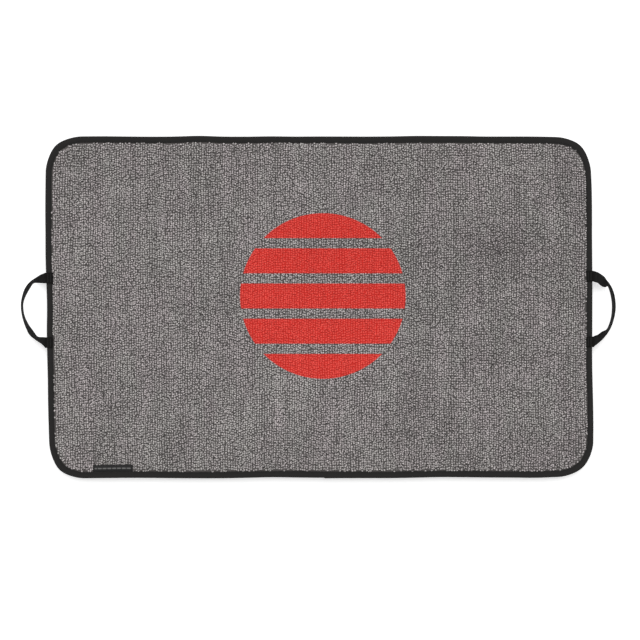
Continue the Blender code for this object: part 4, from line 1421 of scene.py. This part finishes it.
def loop_edges(reach, span, shares):
    """Outer and inner edge of the free part. Plan = the shares times the reach and
    half of the span, which the webbing's width makes longer outside and shorter
    inside. Height = a sag by a squared sine, less the hang of the inner edge."""
    shares = np.array(shares)
    plan = np.column_stack((
        shares[:, 0] * reach, shares[:, 1] * (span + WEBBING_WIDTH) / 2,
        shares[:, 2] * reach, shares[:, 3] * (span - WEBBING_WIDTH) / 2,
    ))
    plan = through(plan, LOOP_STEPS)
    share = np.arange(len(plan)) / (len(plan) - 1)
    sag = -HANDLE_SAG * np.sin(math.pi * share) ** 2
    apart = np.hypot(plan[:, 0] - plan[:, 2], plan[:, 1] - plan[:, 3])
    hang = np.sqrt(np.maximum(WEBBING_WIDTH**2 - apart**2, 0))
    return np.stack((
        np.column_stack((plan[:, :2], sag)), np.column_stack((plan[:, 2:], sag - hang)),
    ))


def strap_edges(side, shares):
    """Both edges of a handle's webbing, from one sewn end to the other: the free part
    with a straight length before and after it, moved to the hinge's place."""
    name = HANDLES[side]
    upper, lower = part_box(f"{name}_upper_tab"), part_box(f"{name}_lower_tab")
    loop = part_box(f"{name}_loop")
    top, bottom = (upper[0][1] + upper[1][1]) / 2, (lower[0][1] + lower[1][1]) / 2
    middle, height = (top + bottom) / 2, (upper[0][2] + upper[1][2]) / 2
    reach = max(abs(loop[0][0]), abs(loop[1][0])) - WEBBING_THICKNESS / 2 - HINGE
    edges = loop_edges(reach, top - bottom, shares)
    sewn_length = HINGE_OUT + tape_edge(side * HALF_LENGTH, middle) + TAB_PAST_TAPE
    tab = np.linspace(sewn_length, 0, TAB_STEPS, endpoint=False)
    sewn = [np.repeat(edges[:, [k]], TAB_STEPS, 1) for k in (0, -1)]
    for part in sewn:
        part[..., 0] = -tab
    edges = np.concatenate((sewn[0], edges, sewn[1][:, ::-1]), 1)
    edges[..., 0] = side * (HINGE + edges[..., 0])
    edges[..., 1] += middle
    edges[..., 2] += height
    return edges


def strap_grid(edges):
    """Closed tube round the strip between two edges. Offset = half the thickness
    along the strip's normal, less towards the selvedges and none at the ends."""
    outer, inner = edges
    share = (1 - np.cos(np.linspace(0, math.pi, STRAP_COLUMNS))) / 2
    middle = outer[:, None] * (1 - share[None, :, None]) + inner[:, None] * share[None, :, None]
    along = np.gradient((outer + inner) / 2, axis=0)
    normal = np.cross(along, inner - outer)
    normal /= np.linalg.norm(normal, axis=1)[:, None]
    if normal[0, 2] < 0:
        normal = -normal
    distance = np.minimum(share, 1 - share) * WEBBING_WIDTH
    fall = (1 - distance / WEBBING_ROUNDING).clip(0, 1)
    profile = np.sqrt(np.clip(1 - fall**2, SELVEDGE_LEAST, 1))
    offset = normal[:, None] * (profile * WEBBING_THICKNESS / 2)[None, :, None]
    offset[[0, -1]] = 0
    return np.concatenate((middle + offset, (middle - offset)[:, ::-1]), 1)


def outwards(piece):
    """Turns a closed mesh's faces to point out."""
    bm = bmesh.new()
    bm.from_mesh(piece.data)
    bmesh.ops.recalc_face_normals(bm, faces=bm.faces)
    bm.to_mesh(piece.data)
    bm.free()
    return piece


def handle(side, shares):
    """One handle: its strap from one sewn end round the loop to the other, as one closed mesh."""
    name = HANDLES[side]
    points = strap_grid(strap_edges(side, shares)) + handle_drift(side)
    finish = webbing_finish(f"{name}_webbing", run_lengths(points, 0)[-2] / MM)
    piece = surface(f"{name}_strap", points, finish, body=None, tube=True, bands=STRAP_BANDS)
    outwards(weld(piece))
    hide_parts(f"{name}_loop", f"{name}_upper_tab", f"{name}_lower_tab")
    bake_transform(piece)
    return piece


left_strap = handle(-1, LEFT_LOOP_SHARES)
right_strap = handle(1, RIGHT_LOOP_SHARES)
print("strap faces:", len(left_strap.data.polygons), len(right_strap.data.polygons))

# %% [markdown]
# Each end of a handle is held by dense zigzag bars of thread. A row of slanted
# stitches, each leaning the other way from the last, makes such a bar.

# %% Stitching on the handles
BAR_STITCHES = 22
BAR_WIDTH = 14.4 * MM
BAR_DEPTH = 2.7 * MM
BAR_STITCH_SHARE = 1.05
BAR_PLACES = (2.8 * MM, 7.4 * MM)
BAR_LIFT = 0.05 * MM


def handle_stitches(side, end):
    """Two zigzag bars on one sewn end. Stitch k lies at share (k + 0.5) / count of
    the bar's width and leans in or out by the bar's depth."""
    name = HANDLES[side]
    low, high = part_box(f"{name}_{end}_tab")
    k, all_same = np.arange(BAR_STITCHES), np.ones(BAR_STITCHES)
    y = (low[1] + high[1]) / 2 + BAR_WIDTH * ((k + 0.5) / BAR_STITCHES - 0.5)
    lean, step = np.where(k % 2, 1, -1), BAR_WIDTH / BAR_STITCHES
    places = [side * (HALF_LENGTH - place) for place in BAR_PLACES]
    middles = [np.column_stack((x * all_same, y, (high[2] + BAR_LIFT) * all_same)) for x in places]
    directions = [np.column_stack((BAR_DEPTH * lean, step * all_same, 0 * y))] * len(places)
    middles = np.vstack(middles) + handle_drift(side)
    length = BAR_DEPTH * BAR_STITCH_SHARE
    piece = stitches(f"{name}_{end}_bartack", middles, np.vstack(directions), length)
    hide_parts(f"{name}_{end}_stitching")
    return piece


for side in (-1, 1):
    for end in ("upper", "lower"):
        handle_stitches(side, end)
print("bar stitches:", 4 * len(BAR_PLACES) * BAR_STITCHES)

# %% [markdown]
# The label is a strip of black damask folded in two and caught under the tape. Damask
# shows as a fine twill of slanted lines. A narrow dark border is woven round the
# label's face, and a plain grey bar in short pieces runs along it. A place is border
# or bar by its distance from an end or an edge, so that needs maths nodes only.

# %% Label finish
LABEL_DARK = (0.0100, 0.0100, 0.0100, 1)
LABEL_LIGHT = (0.0350, 0.0345, 0.0340, 1)
LABEL_GREY = (0.135, 0.133, 0.131, 1)
LABEL_TWILL = 0.55
LABEL_CLOUDS = (260.0, 3.0)
LABEL_RELIEF = (0.06 * MM, 0.6)
LABEL_BORDER = 1.5
BAR_FROM_FREE_EDGE = 6.0
BAR_HALF_WIDTH = 1.1
BAR_FROM_END = 2.8
BAR_PIECE, BAR_PITCH = 6.4, 8.0


def label_finish(length, depth):
    """Damask: a fine slanted twill. A place is border or bar by its distances in
    millimetres from the label's ends and its free edge, read off the cloth map."""
    finish, tree, shader = new_finish("damask_label", roughness=0.6, sheen=0.03, specular=0.2)
    across, along = cloth_axes(tree)
    twill = waves(tree, maths(tree, "ADD", across, along), LABEL_TWILL)
    cloudy = maths(tree, "MULTIPLY", twill, noise(tree, *LABEL_CLOUDS))
    from_end = maths(tree, "MINIMUM", across, maths(tree, "SUBTRACT", length, across))
    from_edge = maths(tree, "SUBTRACT", depth, along)
    border = maths(tree, "LESS_THAN", maths(tree, "MINIMUM", from_end, from_edge), LABEL_BORDER)
    off_bar = maths(tree, "ABSOLUTE", maths(tree, "SUBTRACT", from_edge, BAR_FROM_FREE_EDGE))
    bar = maths(tree, "LESS_THAN", off_bar, BAR_HALF_WIDTH)
    bar = maths(tree, "MULTIPLY", bar, maths(tree, "GREATER_THAN", from_end, BAR_FROM_END))
    piece = maths(tree, "LESS_THAN", maths(tree, "MODULO", across, BAR_PITCH), BAR_PIECE)
    cloth = mixed(tree, border, mixed(tree, cloudy, LABEL_DARK, LABEL_LIGHT), LABEL_DARK)
    colour_by(tree, shader, mixed(tree, maths(tree, "MULTIPLY", bar, piece), cloth, LABEL_GREY))
    raise_by(tree, shader, twill, *LABEL_RELIEF)
    return finish


print("label's bar, millimetres from the free edge:", BAR_FROM_FREE_EDGE)

# %% [markdown]
# The label's mesh is a grid over its length and depth, level with its root under the
# tape and at the height that the pressed loops already know past its hinge. A slight
# wave along the free edge and rounded ends keep it from looking like a card.

# %% Label
ROOT_ROWS, LABEL_ROWS, LABEL_COLUMNS = 6, 22, 65
LIFT_WAVE, LIFT_WAVE_LENGTH, LIFT_WAVE_PHASE = 0.25 * MM, 0.0071, 1.0
EDGE_WAVE, EDGE_WAVE_LENGTH = 0.2 * MM, 0.0113
LABEL_SQUARENESS = 40
LABEL_BANDS = 2
LABEL_EDGE_LEAST = 0.1


def label_points():
    """Closed tube round the label's middle sheet. Height = the root's before the
    hinge and label_middle past it, plus a wave that grows towards the free edge.
    Offset = half the thickness along the sheet's normal, less at its two ends."""
    root_low, root_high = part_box("label_root")
    under_tape = np.linspace(root_low[1], FLAP_LOW[1], ROOT_ROWS)[:-1]
    y = np.concatenate((under_tape, np.linspace(FLAP_LOW[1], FLAP_HIGH[1], LABEL_ROWS)))
    share = (1 - np.cos(np.linspace(0, math.pi, LABEL_COLUMNS))) / 2
    x = FLAP_LOW[0] + share * (FLAP_HIGH[0] - FLAP_LOW[0])
    free = smooth_step(y, FLAP_LOW[1], FLAP_HIGH[1])
    height = np.where(y < FLAP_LOW[1], (root_low[2] + root_high[2]) / 2, label_middle(y))
    wave = LIFT_WAVE * np.sin(x / LIFT_WAVE_LENGTH + LIFT_WAVE_PHASE)
    middle = np.empty((len(y), len(x), 3))
    middle[..., 0] = x
    middle[..., 1] = y[:, None] + EDGE_WAVE * free[:, None] * np.sin(x / EDGE_WAVE_LENGTH)
    middle[..., 2] = height[:, None] + wave * free[:, None]
    slope = np.gradient(height, y)
    normal = np.column_stack((0 * slope, -slope, 1 + 0 * slope))
    normal /= np.linalg.norm(normal, axis=1)[:, None]
    profile = np.sqrt(np.clip(1 - (2 * share - 1) ** LABEL_SQUARENESS, LABEL_EDGE_LEAST, 1))
    offset = normal[:, None] * (profile * LABEL_THICKNESS / 2)[None, :, None]
    offset[[0, -1]] = 0
    return np.concatenate((middle + offset, (middle - offset)[:, ::-1]), 1)


def woven_label():
    """The label in its place: it drifts in and out with the near edge, but keeps its
    place along it."""
    flat = label_points()
    points = settled(flat)
    points[..., 0] = flat[..., 0]
    length, depth = run_lengths(points, 1)[LABEL_COLUMNS - 1] / MM, run_lengths(points, 0)[-2] / MM
    finish = label_finish(length, depth)
    piece = surface("woven_label", points, finish, body=None, tube=True, bands=LABEL_BANDS)
    outwards(weld(piece))
    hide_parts("label_flap", "label_root")
    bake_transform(piece)
    return piece


woven = woven_label()
print("label faces:", len(woven.data.polygons))
